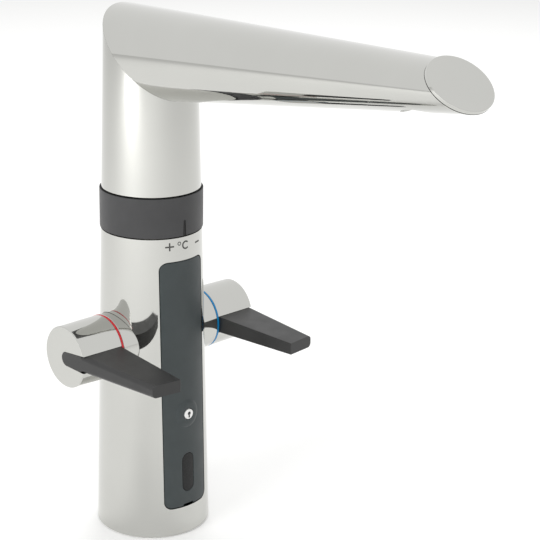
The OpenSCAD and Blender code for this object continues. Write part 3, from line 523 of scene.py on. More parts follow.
def machined(name, rgb, roughness, pitch_mm, across="Z"):
    """Metal from the lathe or the draw bench: fine parallel tool lines that stretch the highlight."""
    material, tree, shader, where = new_material(name, Metallic=1.0)
    if tree:
        mottled(tree, shader, where, rgb, 0.05, 8)
        worn(tree, shader, where, roughness - 0.05, roughness + 0.07, 6)
        lines = add(
            tree, "ShaderNodeTexWave",
            {"Vector": where, "Scale": 1 / (pitch_mm * MM * 2 * math.pi) * 0.5, "Distortion": 0.6,
             "Detail": 2.0},
            wave_type="BANDS", bands_direction=across,
        )
        bump = add(
            tree, "ShaderNodeBump",
            {"Height": lines.outputs["Fac"], "Distance": 0.01 * MM, "Strength": 0.25},
        )
        tree.links.new(bump.outputs["Normal"], shader.inputs["Normal"])
    return material


def lapped_ceramic():
    """Lapped alumina: dense ivory with a satin sheen and faint specks."""
    material, tree, shader, where = new_material("lapped ceramic", IOR=1.7)
    if tree:
        mottled(tree, shader, where, linear("#E6E1D6"), 0.03, 0.8)
        worn(tree, shader, where, 0.28, 0.36, 2)
        grained(tree, shader, where, 0.3, 0.003, 0.3)
    return material


def solder_mask():
    """Glass-fibre board under green solder mask: faint square weave, with the tracks just raised."""
    material, tree, shader, where = new_material("solder mask", IOR=1.55)
    if tree:
        weave = add(
            tree, "ShaderNodeTexChecker",
            {"Vector": where, "Scale": 1 / (0.8 * MM), "Color1": opaque(linear("#2E5B3C")),
             "Color2": opaque(linear("#346645"))},
        )
        tracks = add(
            tree, "ShaderNodeTexBrick",
            {"Vector": where, "Scale": 1.0 / (12 * MM), "Mortar Size": 0.012,
             "Color1": (0, 0, 0, 1), "Color2": (0, 0, 0, 1), "Mortar": (1, 1, 1, 1)},
        )
        tint = add(
            tree, "ShaderNodeMix",
            {"Factor": tracks.outputs["Fac"], "A": weave.outputs["Color"], "B": opaque(linear("#4D8A5C"))},
            data_type="RGBA",
        )
        tree.links.new(tint.outputs[2], shader.inputs["Base Color"])
        worn(tree, shader, where, 0.3, 0.4, 4)
        bump = add(
            tree, "ShaderNodeBump",
            {"Height": tracks.outputs["Fac"], "Distance": 0.05 * MM, "Strength": 0.4},
        )
        tree.links.new(bump.outputs["Normal"], shader.inputs["Normal"])
    return material


def enamelled_winding():
    """Layers of enamelled copper wire: rows of round turns, 0.6 mm apart, with a varnish gloss."""
    rgb = bpy.context.scene.tap_colours.copper
    material, tree, shader, where = new_material(
        "enamelled winding", Metallic=0.7, Coat_Weight=0.5, Coat_Roughness=0.2
    )
    if tree:
        mottled(tree, shader, where, rgb, 0.15, 2)
        worn(tree, shader, where, 0.3, 0.4, 3)
        turns = add(
            tree, "ShaderNodeTexWave", {"Vector": where, "Scale": 1 / (0.6 * MM * 2 * math.pi) * 0.5},
            wave_type="BANDS", bands_direction="Y",
        )
        bump = add(
            tree, "ShaderNodeBump",
            {"Height": turns.outputs["Fac"], "Distance": 0.3 * MM, "Strength": 0.8},
        )
        tree.links.new(bump.outputs["Normal"], shader.inputs["Normal"])
    return material


def graphite():
    return moulded("graphite nylon", bpy.context.scene.tap_colours.graphite, 0.42)


def collar_nylon():
    return moulded("collar nylon", bpy.context.scene.tap_colours.collar, 0.46)


def slate():
    return moulded("slate ABS", bpy.context.scene.tap_colours.slate, 0.48)


def acetal():
    return moulded("natural acetal", linear("#DAD8D0"), 0.38, height_mm=0.01, spread=0.03)


def black_plastic():
    return moulded("black ABS", linear("#1E1F20"), 0.5)


def brass():
    return machined("machined brass", bpy.context.scene.tap_colours.brass, 0.28, 0.35)


def copper():
    return machined("drawn copper", bpy.context.scene.tap_colours.copper, 0.25, 0.5, "X")


def steel():
    return machined("brushed steel", bpy.context.scene.tap_colours.steel, 0.3, 0.3)


# ---------------------------------------------------------------- pieces


def chromed(shape, node, body, exact=None, limit=35):
    """Makes the chrome-plated piece that stands for one of the frame's nodes."""
    return make_piece(shape, node + "_chromed", chrome_plate(), body, [node], exact, limit)


class MIXER_OT_column_shell(bpy.types.Operator):
    """Makes the tapered chromed column with its openings"""

    bl_idname = "mixer.column_shell"
    bl_label = "Column shell"

    def execute(self, context):
        top, wall, foot = size("column_height"), size("column_wall"), size("foot_chamfer")
        block_wall, block_top, ledge_inner, ledge_top = 27.05, 12.05, 22.6, 14.05
        groove_outer, groove_inner, groove_foot = 21.55, 15.95, top - 1.25
        # The column's rim steps back under the collar and leaves a dark line there
        hole, edge, step = 13.4, 0.4, 2.0
        ceiling = top - size("flange")
        shape = turned([
            (block_wall, 0),
            (body_radius(0) - foot, 0),
            (body_radius(foot), foot),
            (body_radius(top - edge), top - edge),
            (body_radius(top) - step, top - edge),
            (body_radius(top) - step, top),
            (groove_outer, top),
            (groove_outer, groove_foot),
            (groove_inner, groove_foot),
            (groove_inner, top),
            (hole, top),
            (hole, ceiling),
            (body_radius(ceiling) - wall, ceiling),
            (body_radius(ledge_top) - wall, ledge_top),
            (ledge_inner, ledge_top),
            (ledge_inner, block_top),
            (block_wall, block_top),
        ])
        gap = size("panel_gap")
        low, high = size("panel_low") - gap, size("panel_high") + gap
        opening = rounded_bar(
            2 * (size("panel_half") + gap), high - low, size("panel_corner") + gap, 0, 60
        )
        place(opening, frontwards((low + high) / 2))
        neck_hole = size("neck_radius") + 0.15
        necks = turned([(0, -60), (neck_hole, -60), (neck_hole, 60), (0, 60)])
        place(necks, sideways(COLD))
        screw_hole = turned([(0, 0), (2.05, 0), (2.05, 60), (0, 60)], 48)
        place(screw_hole, Matrix.Translation((0, 0, 6)) @ Matrix.Rotation(-math.pi / 2, 4, "X"))
        for cutter in (opening, necks, screw_hole):
            shape = carve(shape, cutter)
        walls = [(body_radius(0), angle("taper")), (body_radius(0) - wall, angle("taper"))]
        chromed(shape, "column_shell", "column", round_walls((0, 0, 0), (0, 0, 1), walls))
        return {"FINISHED"}


class MIXER_OT_necks(bpy.types.Operator):
    """Makes the two fixed necks that carry the handles"""

    bl_idname = "mixer.necks"
    bl_label = "Necks"

    def execute(self, context):
        outer, inner, start, end = size("neck_radius"), 14.05, 18.0, size("neck_reach")
        for side in (HOT, COLD):
            shape = turned([(inner, start), (outer, start), (outer, end), (inner, end)])
            soften(shape, [e for e in creases(shape) if abs(e.verts[0].co.z - end) < 0.01], 0.3)
            place(shape, sideways(side))
            chromed(shape, side_name(side) + "_neck", "column")
        return {"FINISHED"}


class MIXER_OT_coloured_rings(bpy.types.Operator):
    """Makes the red and the blue ring beside the hubs"""

    bl_idname = "mixer.coloured_rings"
    bl_label = "Coloured rings"

    def execute(self, context):
        colours = context.scene.tap_colours
        start = size("neck_reach") + 0.15
        end = start + size("ring_width")
        outer, inner = size("neck_radius"), 12.5
        for side, rgb, slot in ((HOT, colours.hot, "hot_red"), (COLD, colours.cold, "cold_blue")):
            shape = turned([(inner, start), (outer, start), (outer, end), (inner, end)])
            soften(shape, creases(shape), 0.15, 2)
            place(shape, sideways(side))
            name = side_name(side)
            body = name + "_handle"
            material = glossy_plastic(name + " ring ABS", rgb, 0.28)
            make_piece(shape, name + "_ring_moulded", material, body, [name + "_ring"])
        return {"FINISHED"}


def lever_outline(margin=0.0):
    """Side view of a lever, forward along x and up along y from the handles' axis."""
    radius = size("lever_nose") + margin
    shoulder, forward, drop = 14.0, 1.2, 0.6
    root, tip = size("lever_root") / 2 + margin, size("lever_tip") / 2 + margin
    turns = [math.radians(a) for a in range(90, 271, 6)]
    nose = [(forward + radius * math.cos(a), radius * math.sin(a) - drop) for a in turns]
    reach = size("lever_reach")
    return nose + [(shoulder, -root), (reach, -tip), (reach, tip), (shoulder, root)]


def lever_bar(side, start, end, margin=0.0):
    """Bar along X with the side view of a lever."""
    bar = prism(lever_outline(margin), start, end)
    # x of the outline goes to the front, y goes up and the bar's length goes to the side
    turn = Matrix(((0, 0, side, 0), (-1, 0, 0, 0), (0, 1, 0, size("handle_height")), (0, 0, 0, 1)))
    place(bar, turn)
    bmesh.ops.recalc_face_normals(bar, faces=bar.faces)
    return bar


def hub_start():
    return size("neck_reach") + 0.15 + size("ring_width") + 0.05


class MIXER_OT_hubs(bpy.types.Operator):
    """Makes the two chromed hubs with their lever slots and grub screw holes"""

    bl_idname = "mixer.hubs"
    bl_label = "Hubs"

    def execute(self, context):
        start, chamfer = hub_start(), size("hub_chamfer")
        end = start + size("hub_length")
        big, small, bore, floor = size("hub_radius"), size("hub_end_radius"), 12.5, end - 4
        taper = (big - small) / (end - chamfer - start)
        slit, grub = 0.12, 1.55
        for side in (HOT, COLD):
            shape = turned([
                (bore, start), (big - 0.2, start), (big, start + 0.2), (small, end - chamfer),
                (small - chamfer, end), (0, end), (0, floor), (bore, floor),
            ])
            place(shape, sideways(side))
            shape = carve(shape, lever_bar(side, start - OVERLAP, end + OVERLAP, slit))
            hole = turned([(0, 0), (grub, 0), (grub, 30), (0, 30)], 48)
            down = Matrix.Translation((side * (start + 10), 0, size("handle_height")))
            place(hole, down @ Matrix.Rotation(math.pi, 4, "X"))
            shape = carve(shape, hole)
            axis = (side, 0, 0)
            walls = [(big + taper * start, taper), (bore, 0)]
            name = side_name(side)
            exact = round_walls((0, 0, size("handle_height")), axis, walls)
            chromed(shape, name + "_hub", name + "_handle", exact)
        return {"FINISHED"}


class MIXER_OT_levers(bpy.types.Operator):
    """Makes the two moulded levers with their rounded outer sides"""

    bl_idname = "mixer.levers"
    bl_label = "Levers"

    def execute(self, context):
        inner, outer = hub_start() + 0.3, hub_start() + size("hub_length")
        reach, middle = size("lever_reach"), size("handle_height")
        tip_inner, tip_outer = inner + 3.8, inner + 3.8 + 16.2
        shoulder, tip_skew = 14.0, 1.9
        # Edges further back than this lie in the hub's slot and stay sharp
        slot_front = -12
        for side in (HOT, COLD):
            shape = lever_bar(side, inner, outer)
            plan = [
                ((inner, -size("hub_radius")), (tip_inner, -reach)),
                ((tip_inner, -reach), (tip_outer, -reach + tip_skew)),
                ((tip_outer, -reach + tip_skew), (outer, -shoulder)),
            ]
            for (x1, y1), (x2, y2) in plan:
                trim(shape, (side * x1, y1, middle), (side * (y2 - y1), -(x2 - x1), 0))
            bmesh.ops.remove_doubles(shape, verts=shape.verts, dist=1e-3)
            slope = (outer - tip_outer) / (reach - tip_skew - shoulder)

            def on_outer_side(vert):
                x, y = abs(vert.co.x), vert.co.y
                return y < -shoulder + 0.1 and abs(x - outer - slope * (y + shoulder)) < 0.05

            sharp = creases(shape, 30)
            long_edges = [e for e in sharp if all(on_outer_side(v) for v in e.verts) and e.calc_length() > 20]
            others = [
                e for e in sharp if e not in long_edges and all(v.co.y < slot_front for v in e.verts)
            ]
            soften(shape, long_edges, 2.2, 8)
            others = [e for e in others if e.is_valid]
            soften(shape, others, 0.45, 3)
            bore_radius, bore_start, bore_end = 6.2, inner - OVERLAP, outer - 4.05
            bore = turned([
                (0, bore_start), (bore_radius, bore_start), (bore_radius, bore_end), (0, bore_end),
            ], 96)
            place(bore, sideways(side))
            shape = carve(shape, bore)
            name = side_name(side)
            make_piece(
                shape, name + "_lever_moulded", graphite(), name + "_handle",
                [name + "_lever"], limit=28,
            )
        return {"FINISHED"}


def onto_column(shape, sink=0.0):
    """Wraps a shape drawn flat on the front, with x across, z up and y inwards, onto the tapered column."""
    for vert in shape.verts:
        x, inwards, z = vert.co
        vert.co.y = -math.sqrt((body_radius(z) - sink - inwards) ** 2 - x * x)
    return shape


def button_boss():
    """Low dome that stands on Z = 0 towards -Z, steepest at its rim and flat round the button."""
    radius, rise = size("boss_radius"), size("boss_rise")
    slopes = ((1.0, 0.0), (0.93, 0.36), (0.85, 0.66), (0.76, 0.86), (0.66, 0.96), (0.54, 1.0), (0.0, 1.0))
    return turned([(0, 1), (radius, 1)] + [(radius * out, -rise * up) for out, up in slopes], 128)


def flat_front(shape, height):
    """Lays a shape drawn on XY with its depth on Z flat on the front, z up and y inwards."""
    lift, turn = Matrix.Translation((0, 0, height)), Matrix.Rotation(-math.pi / 2, 4, "X")
    return place(shape, lift @ turn @ Matrix.Scale(-1, 4, (0, 1, 0)))


class MIXER_OT_front_panel(bpy.types.Operator):
    """Makes the curved front panel with its button boss, window opening and pry notch"""

    bl_idname = "mixer.front_panel"
    bl_label = "Front panel"

    def execute(self, context):
        low, high, thick = size("panel_low"), size("panel_high"), size("panel_depth")
        middle = (low + high) / 2
        shape = rounded_bar(2 * size("panel_half"), high - low, size("panel_corner"), 0, thick)
        boss = place(button_boss(), Matrix.Translation((0, size("button_height") - middle, 0)))
        shape = carve(shape, boss, "UNION")
        window_gap, button_gap = 0.1, 0.25
        width = size("window_width") + 2 * window_gap
        height = size("window_height") + 2 * window_gap
        opening = rounded_bar(width, height, width / 2 - 0.01, -OVERLAP, thick + OVERLAP, 24)
        window_middle = size("window_low") + size("window_height") / 2
        place(opening, Matrix.Translation((0, window_middle - middle, 0)))
        radius = size("button_radius") + button_gap
        hole = turned([(0, -3), (radius, -3), (radius, thick + OVERLAP), (0, thick + OVERLAP)], 64)
        place(hole, Matrix.Translation((0, size("button_height") - middle, 0)))
        notch = rounded_bar(6.5, 2.0, 0.2, -OVERLAP, thick + OVERLAP, 2)
        place(notch, Matrix.Translation((0, low - middle, 0)))
        for cutter in (opening, hole, notch):
            shape = carve(shape, cutter)
        rims = [e for e in creases(shape) if all(abs(v.co.z) < 1e-3 or v.co.z < -0.5 for v in e.verts)]
        soften(shape, rims, 0.25, 3)
        flat_front(shape, middle)
        bmesh.ops.recalc_face_normals(shape, faces=shape.faces)
        slice_up(shape, (1, 0, 0), [x * 0.9 for x in range(-17, 18)])
        slice_up(shape, (0, 0, 1), [low + 3 * i for i in range(1, 45)])
        onto_column(shape)
        make_piece(
            shape, "front_panel_moulded", slate(), "column", ["front_panel"], limit=30
        )
        return {"FINISHED"}


class MIXER_OT_sensor_window(bpy.types.Operator):
    """Makes the pill-shaped sensor window"""

    bl_idname = "mixer.sensor_window"
    bl_label = "Sensor window"

    def execute(self, context):
        width, height = size("window_width"), size("window_height")
        shape = rounded_bar(width, height, width / 2 - 0.01, 0, 2.2, 24)
        rims = [e for e in creases(shape) if all(abs(v.co.z) < 1e-3 for v in e.verts)]
        soften(shape, rims, 0.3, 3)
        flat_front(shape, size("window_low") + height / 2)
        bmesh.ops.recalc_face_normals(shape, faces=shape.faces)
        slice_up(shape, (1, 0, 0), [x * 0.6 for x in range(-6, 7)])
        slice_up(shape, (0, 0, 1), [size("window_low") + 1.5 * i for i in range(1, 16)])
        onto_column(shape, sink=0.12)
        make_piece(
            shape, "sensor_window_polished", window_polycarbonate(), "column",
            ["sensor_window"], limit=30,
        )
        return {"FINISHED"}


class MIXER_OT_button(bpy.types.Operator):
    """Makes the push button and its plain mark"""

    bl_idname = "mixer.button"
    bl_label = "Push button"

    def execute(self, context):
        low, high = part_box("button_cap")
        face, back = -low.y / MM, -high.y / MM
        radius, flange, flange_front, flange_back = size("button_radius"), 4.2, back + 0.8, back
        shape = turned([
            (0, back), (flange, flange_back), (flange, flange_front), (radius, flange_front),
            (radius, face - 0.35), (radius - 0.1, face - 0.1), (radius - 0.35, face), (0, face),
        ], 96)
        place(shape, frontwards(size("button_height")))
        colours = context.scene.tap_colours
        material = glossy_plastic("button ABS", colours.button, 0.3)
        make_piece(shape, "button_cap_moulded", material, "button", ["button_cap"])
        dot = turned([(0, 0), (0.95, 0), (0.95, 0.04), (0, 0.04)], 48)
        place(dot, Matrix.Translation((0, 0.5, 0)))
        stem = rounded_bar(0.85, 2.7, 0.2, 0, 0.04, 4)
        place(stem, Matrix.Translation((0, -0.55, 0)))
        mark = carve(dot, stem, "UNION")
        place(mark, frontwards(size("button_height")) @ Matrix.Translation((0, 0, face)))
        ink = moulded("button mark ink", linear("#151515"), 0.5)
        make_piece(mark, "button_mark_printed", ink, "button")
        return {"FINISHED"}


class MIXER_OT_collar(bpy.types.Operator):
    """Makes the temperature collar with its pointer groove"""

    bl_idname = "mixer.collar"
    bl_label = "Temperature collar"

    def execute(self, context):
        start = size("column_height") + size("running_gap")
        end = start + size("collar_height")
        outer = size("collar_radius")
        inner, web, web_top = outer - size("collar_wall"), 19.0, start + 4
        shape = turned([
            (web, start), (outer, start), (outer, end), (inner, end), (inner, web_top), (web, web_top),
        ])
        soften(shape, [e for e in creases(shape) if abs(math.hypot(*e.verts[0].co.xy) - outer) < 0.01], 0.35)
        pointer, width, depth = 8.2, 2.2, 0.6
        fill = depth - 0.3
        outline = [
            (width / 2, 0), (0.3 * width, pointer - 0.5), (0.15 * width, pointer), (-0.15 * width, pointer),
            (-0.3 * width, pointer - 0.5), (-width / 2, 0),
        ]
        turn = Matrix.Rotation(math.radians(-0.7), 4, "Z") @ frontwards(start)
        floor = outer - depth
        groove = prism([(x, y if y else -OVERLAP) for x, y in outline], floor, outer + 2)
        shape = carve(shape, place(groove, turn))
        inlay = prism([(0.96 * x, 0.02 + 0.99 * y) for x, y in outline], floor + 0.01, floor + fill)
        make_piece(
            place(inlay, turn), "collar_pointer_filled", moulded("pointer filling", linear("#141414"), 0.6),
            "collar",
        )
        collar = make_piece(
            shape, "temperature_collar_moulded", collar_nylon(), "collar",
            ["temperature_collar"], round_walls((0, 0, 0), (0, 0, 1), [(outer, 0), (inner, 0)]),
        )
        # The end faces get a near-black painted shade that stands in for the shadow gap, and it reads as a
        # dark line over and under the collar
        collar.data.materials.append(moulded("collar end black", linear("#060606"), 0.7))
        for face in collar.data.polygons:
            if abs(face.normal.z) > 0.9:
                face.material_index = 1
        return {"FINISHED"}


def mitre_point(turn, inset, lift):
    """Point on the mitre's outline, set in by a wall and lifted off its plane."""
    slope = angle("mitre_slope")
    lean = math.tan(slope) * math.cos(turn)
    height = (size("mitre_height") - (size("base_radius") - inset) * lean) / (1 - angle("taper") * lean)
    radius = body_radius(height) - inset
    flat = Vector((radius * math.sin(turn), -radius * math.cos(turn) / math.cos(slope), lift))
    return Matrix.Translation((0, 0, size("mitre_height"))) @ Matrix.Rotation(slope, 4, "X") @ flat


def end_point(turn, inset, slant_inset, depth):
    """Point on the end face's oval, at a depth behind the face."""
    flat = Vector((
        (size("end_half_width") - inset) * math.sin(turn),
        (size("end_half_height") - slant_inset) * math.cos(turn),
        -depth,
    ))
    spot = (0, -size("spout_reach"), size("mitre_height") + size("spout_rise"))
    return Matrix.Translation(spot) @ Matrix.Rotation(math.pi / 2 - angle("end_tilt"), 4, "X") @ flat


def partner(turn, inset, depth):
    """Turn on the end oval whose straight line from the mitre's point lies flat on the arm's skin."""
    step = 1e-3
    start = mitre_point(turn, inset, 0.05)
    along = mitre_point(turn + step, inset, 0.05) - mitre_point(turn - step, inset, 0.05)

    def twist(other):
        reach = end_point(other, inset, inset, depth) - start
        ahead = end_point(other + step, inset, inset, depth)
        behind = end_point(other - step, inset, inset, depth)
        return along.cross(reach).dot(ahead - behind)

    low, high = math.pi - turn - 0.7, math.pi - turn + 0.7
    low_value = twist(low)
    if low_value * twist(high) > 0:
        return math.pi - turn
    for _ in range(40):
        middle = (low + high) / 2
        value = twist(middle)
        if low_value * value <= 0:
            high = middle
        else:
            low, low_value = middle, value
    return (low + high) / 2


def under_slope():
    """Slope of the arm's lowest line and its height under the aerator."""
    low_radius = body_radius(size("mitre_height"))
    low_z = size("mitre_height") - low_radius * math.tan(angle("mitre_slope"))
    tip_y = size("spout_reach") + size("end_half_height") * math.sin(angle("end_tilt"))
    tip_z = size("mitre_height") + size("spout_rise") - size("end_half_height") * math.cos(angle("end_tilt"))
    slope = math.atan2(tip_z - low_z, tip_y - low_radius)
    return slope, low_z + (size("aerator_reach") - low_radius) * math.tan(slope)


def at_aerator():
    slope, height = under_slope()
    spot = (0, -size("aerator_reach"), height)
    return Matrix.Translation(spot) @ Matrix.Rotation(-slope, 4, "X")


class MIXER_OT_spout_riser(bpy.types.Operator):
    """Makes the spout's upright tube, cut off at the mitre"""

    bl_idname = "mixer.spout_riser"
    bl_label = "Spout riser"

    def execute(self, context):
        wall, gap = size("riser_wall"), size("running_gap")
        start = size("column_height") + size("collar_height") + 2 * gap
        top, edge, step = size("mitre_height") + 45, 0.4, 0.8
        shape = turned([
            (body_radius(start) - wall, start),
            (body_radius(start) - step, start),
            (body_radius(start) - step, start + edge),
            (body_radius(start + edge), start + edge),
            (body_radius(top), top), (body_radius(top) - wall, top),
        ])
        slope = angle("mitre_slope")
        outwards = (0, -math.sin(slope), math.cos(slope))
        cut = bmesh.ops.bisect_plane(
            shape, geom=shape.verts[:] + shape.edges[:] + shape.faces[:],
            plane_co=(0, 0, size("mitre_height")), plane_no=outwards, clear_outer=True,
        )
        rim = [e for e in cut["geom_cut"] if isinstance(e, bmesh.types.BMEdge)]
        bmesh.ops.bridge_loops(shape, edges=rim)
        bmesh.ops.recalc_face_normals(shape, faces=shape.faces)
        hole = turned([(0, 0), (1.55, 0), (1.55, 60), (0, 60)], 48)
        place(hole, Matrix.Translation((0, 0, start + 5)) @ Matrix.Rotation(-math.pi / 2, 4, "X"))
        shape = carve(shape, hole)
        walls = [(body_radius(0), angle("taper")), (body_radius(0) - wall, angle("taper"))]
        chromed(shape, "spout_riser", "spout", round_walls((0, 0, 0), (0, 0, 1), walls))
        return {"FINISHED"}


class MIXER_OT_spout_arm(bpy.types.Operator):
    """Makes the spout's arm, ruled from the mitre's outline to the end face's oval"""

    bl_idname = "mixer.spout_arm"
    bl_label = "Spout arm"

    def execute(self, context):
        count, rows = 240, 24
        wall, depth = size("arm_wall"), size("end_plate") + 0.35
        turns = [math.tau * i / count for i in range(count)]
        starts = [mitre_point(t, 0, 0.05) for t in turns]
        ends = [end_point(partner(t, 0, depth), 0, 0, depth) for t in turns]
        inner_starts = [mitre_point(t, wall, 0.05) for t in turns]
        inner_ends = [end_point(math.pi - t, wall, 2 * wall, depth) for t in turns]
        skin = [[a.lerp(b, i / rows) for a, b in zip(starts, ends)] for i in range(rows + 1)]
        shape = loft(skin + [inner_ends, inner_starts, starts])
        radius = size("aerator_radius")
        hole = turned([(0, -30), (radius, -30), (radius, 8.4), (0, 8.4)], 128)
        place(hole, at_aerator())
        shape = carve(shape, hole)
        chromed(shape, "spout_arm", "spout", limit=25)
        return {"FINISHED"}


class MIXER_OT_end_plate(bpy.types.Operator):
    """Makes the oval plate that closes the spout's end"""

    bl_idname = "mixer.end_plate"
    bl_label = "End plate"

    def execute(self, context):
        bevel, thick = 0.5, size("end_plate")
        turns = [math.tau * i / STEPS for i in range(STEPS)]
        arc = [math.radians(a) for a in (0, 30, 60, 90)]
        rows = [[end_point(t, 0, 0, thick) for t in turns]]
        for a in arc:
            inset, depth = bevel * (1 - math.cos(a)), bevel * (1 - math.sin(a))
            rows.append([end_point(t, inset, inset, depth) for t in turns])
        shape = loft(rows)
        bmesh.ops.holes_fill(shape, edges=[e for e in shape.edges if e.is_boundary], sides=0)
        bmesh.ops.recalc_face_normals(shape, faces=shape.faces)
        chromed(shape, "spout_end_plate", "spout", limit=50)
        return {"FINISHED"}


class MIXER_OT_aerator(bpy.types.Operator):
    """Makes the aerator's ring with its key notches"""

    bl_idname = "mixer.aerator"
    bl_label = "Aerator"

    def execute(self, context):
        outer, wall = size("aerator_radius") - 0.05, 1.35
        start, end = size("aerator_recess"), size("aerator_recess") + size("aerator_height")
        shape = turned([(outer - wall, start), (outer, start), (outer, end), (outer - wall, end)], 128)
        soften(shape, creases(shape), 0.25, 2)
        for turn in range(4):
            notch = rounded_bar(1.6, 6, 0.3, start - OVERLAP, start + 0.9, 3)
            quarter = Matrix.Rotation(turn * math.pi / 2, 4, "Z")
            place(notch, quarter @ Matrix.Translation((0, outer - wall, 0)))
            shape = carve(shape, notch)
        place(shape, at_aerator())
        chromed(shape, "aerator_ring", "spout")
        return {"FINISHED"}


class MIXER_OT_temperature_marks(bpy.types.Operator):
    """Makes the plus, degree, C and minus marks under the collar"""

    bl_idname = "mixer.temperature_marks"
    bl_label = "Temperature marks"

    def execute(self, context):
        thick, stroke = 0.04, 0.8
        degree_hole, degree_stroke = 0.62, 0.42
        plus = carve(
            rounded_bar(4.8, stroke, 0.05, 0, thick, 2), rounded_bar(stroke, 4.2, 0.05, 0, thick, 2), "UNION"
        )
        minus = rounded_bar(4.0, stroke, 0.05, 0, thick, 2)
        degree_edge = degree_hole + degree_stroke
        degree = turned([
            (degree_hole, 0), (degree_edge, 0), (degree_edge, thick), (degree_hole, thick),
        ], 48)
        letter = turned([(2.25 - stroke, 0), (2.25, 0), (2.25, thick), (2.25 - stroke, thick)], 96)
        reach = 9
        flare = reach * math.tan(math.radians(42))
        mouth = prism([(0, 0), (reach, flare), (reach, -flare)], -OVERLAP, OVERLAP)
        letter = carve(letter, mouth)
        for name, shape, turn, height in (
            ("plus_mark_printed", plus, -19.3, 159.1), ("degree_mark_printed", degree, -7.4, 160.2),
            ("letter_mark_printed", letter, 1.3, 158.9), ("minus_mark_printed", minus, 22.1, 158.3),
        ):
            slice_up(shape, (1, 0, 0), [0.35 * i for i in range(-7, 8)])
            for vert in shape.verts:
                x, y, lift = vert.co
                z = height + y
                radius = body_radius(z) + lift
                around = math.radians(turn) + x / radius
                vert.co = (radius * math.sin(around), -radius * math.cos(around), z)
            bmesh.ops.recalc_face_normals(shape, faces=shape.faces)
            make_piece(shape, name, printed_ink(), "column")
        return {"FINISHED"}


class MIXER_OT_inner_finishes(bpy.types.Operator):
    """Gives the pieces inside the tap their finishes"""

    bl_idname = "mixer.inner_finishes"
    bl_label = "Inner finishes"

    def execute(self, context):
        lens = glossy_plastic("lens polycarbonate", linear("#3A3038"), 0.1)
        cell = machined("cell can", linear("#9DA1A4"), 0.35, 0.4)
        finishes = {
            nitrile_rubber(): ["deck_gasket", "spigot_seals"],
            brass(): ["inlet_block", "valve_core", "hot_headwork", "cold_headwork", "swivel_spigot",
                      "drive_plate", "tube_socket", "hot_spindle", "cold_spindle"],
            copper(): ["supply_tubes"],
            steel(): ["base_set_screw", "tie_rods", "collar_stop_pin", "swivel_stop_ring", "tray_screws",
                      "solenoid_tube", "solenoid_plunger", "riser_set_screw", "hot_grub_screw",
                      "cold_grub_screw"],
            lapped_ceramic(): ["fixed_discs", "hot_turning_disc", "cold_turning_disc"],
            acetal(): ["collar_washer", "bearing_washer", "mixing_sleeve", "lower_bush", "upper_bush",
                       "inner_tube", "aerator_seat", "aerator_insert", "hot_adapter", "cold_adapter"],
            black_plastic(): ["electronics_tray", "sensor_module", "button_switch", "battery_holder"],
            solder_mask(): ["circuit_board"],
            enamelled_winding(): ["solenoid_coil"],
            lens: ["sensor_lenses"],
            cell: ["battery_cell"],
        }
        for material, names in finishes.items():
            for name in names:
                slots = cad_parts[name].material_slots
                if not slots:
                    raise RuntimeError(name + " has no material slot")
                for slot in slots:
                    slot.material = material
        return {"FINISHED"}


# ---------------------------------------------------------------- stage


def grey(level):
    """Linear grey of an sRGB level from 0 to 255."""
    return linear("#" + 3 * ("%02x" % round(level)))


def background_rays(tree):
    """1 for the rays that show the white background: those of the camera, metal and glass."""
    path = add(tree, "ShaderNodeLightPath")
    shown = path.outputs["Is Camera Ray"]
    for kind in ("Is Glossy Ray", "Is Transmission Ray"):
        shown = add(tree, "ShaderNodeMath", {0: shown, 1: path.outputs[kind]}, operation="MAXIMUM").outputs[0]
    return shown


def studio_world(scene):
    """White background to the camera, metal and glass, and an even grey light to plain surfaces."""
    world = bpy.data.worlds.new("studio")
    world.use_nodes = True
    scene.world = world
    tree = world.node_tree
    tree.nodes.clear()
    plain = add(tree, "ShaderNodeBackground", {"Color": opaque(grey(232)), "Strength": 0.75})
    white = add(tree, "ShaderNodeBackground", {"Color": (1, 1, 1, 1), "Strength": 1.0})
    seen = add(
        tree, "ShaderNodeMixShader", {0: background_rays(tree), 1: plain.outputs[0], 2: white.outputs[0]}
    )
    add(tree, "ShaderNodeOutputWorld", {"Surface": seen.outputs[0]})


def studio_floor(scene):
    """Matte white paper, lifted near to white for camera, metal and glass where no shadow falls."""
    shape = bmesh.new()
    bmesh.ops.create_grid(shape, x_segments=8, y_segments=8, size=3.0)
    mesh = bpy.data.meshes.new("floor")
    shape.to_mesh(mesh)
    shape.free()
    floor = bpy.data.objects.new("floor", mesh)
    scene.collection.objects.link(floor)
    material = bpy.data.materials.new("white paper")
    material.use_nodes = True
    tree = material.node_tree
    tree.nodes.clear()
    where = add(tree, "ShaderNodeTexCoord").outputs["Object"]
    fibres = add(tree, "ShaderNodeTexNoise", {"Vector": where, "Scale": 900.0})
    tint = add(
        tree, "ShaderNodeValToRGB", {"Fac": fibres.outputs["Fac"]},
        stops=[(0.3, linear("#F4F4F3")), (0.7, linear("#F8F8F7"))],
    )
    paper = add(tree, "ShaderNodeBsdfDiffuse", {"Color": tint.outputs["Color"]})
    glow = add(tree, "ShaderNodeEmission", {"Color": (1, 1, 1, 1), "Strength": 0.18})
    both = add(tree, "ShaderNodeAddShader", {0: paper.outputs[0], 1: glow.outputs[0]})
    surface = add(
        tree, "ShaderNodeMixShader", {0: background_rays(tree), 1: paper.outputs[0], 2: both.outputs[0]}
    )
    add(tree, "ShaderNodeOutputMaterial", {"Surface": surface.outputs[0]})
    mesh.materials.append(material)
    floor.location.z = -0.0005


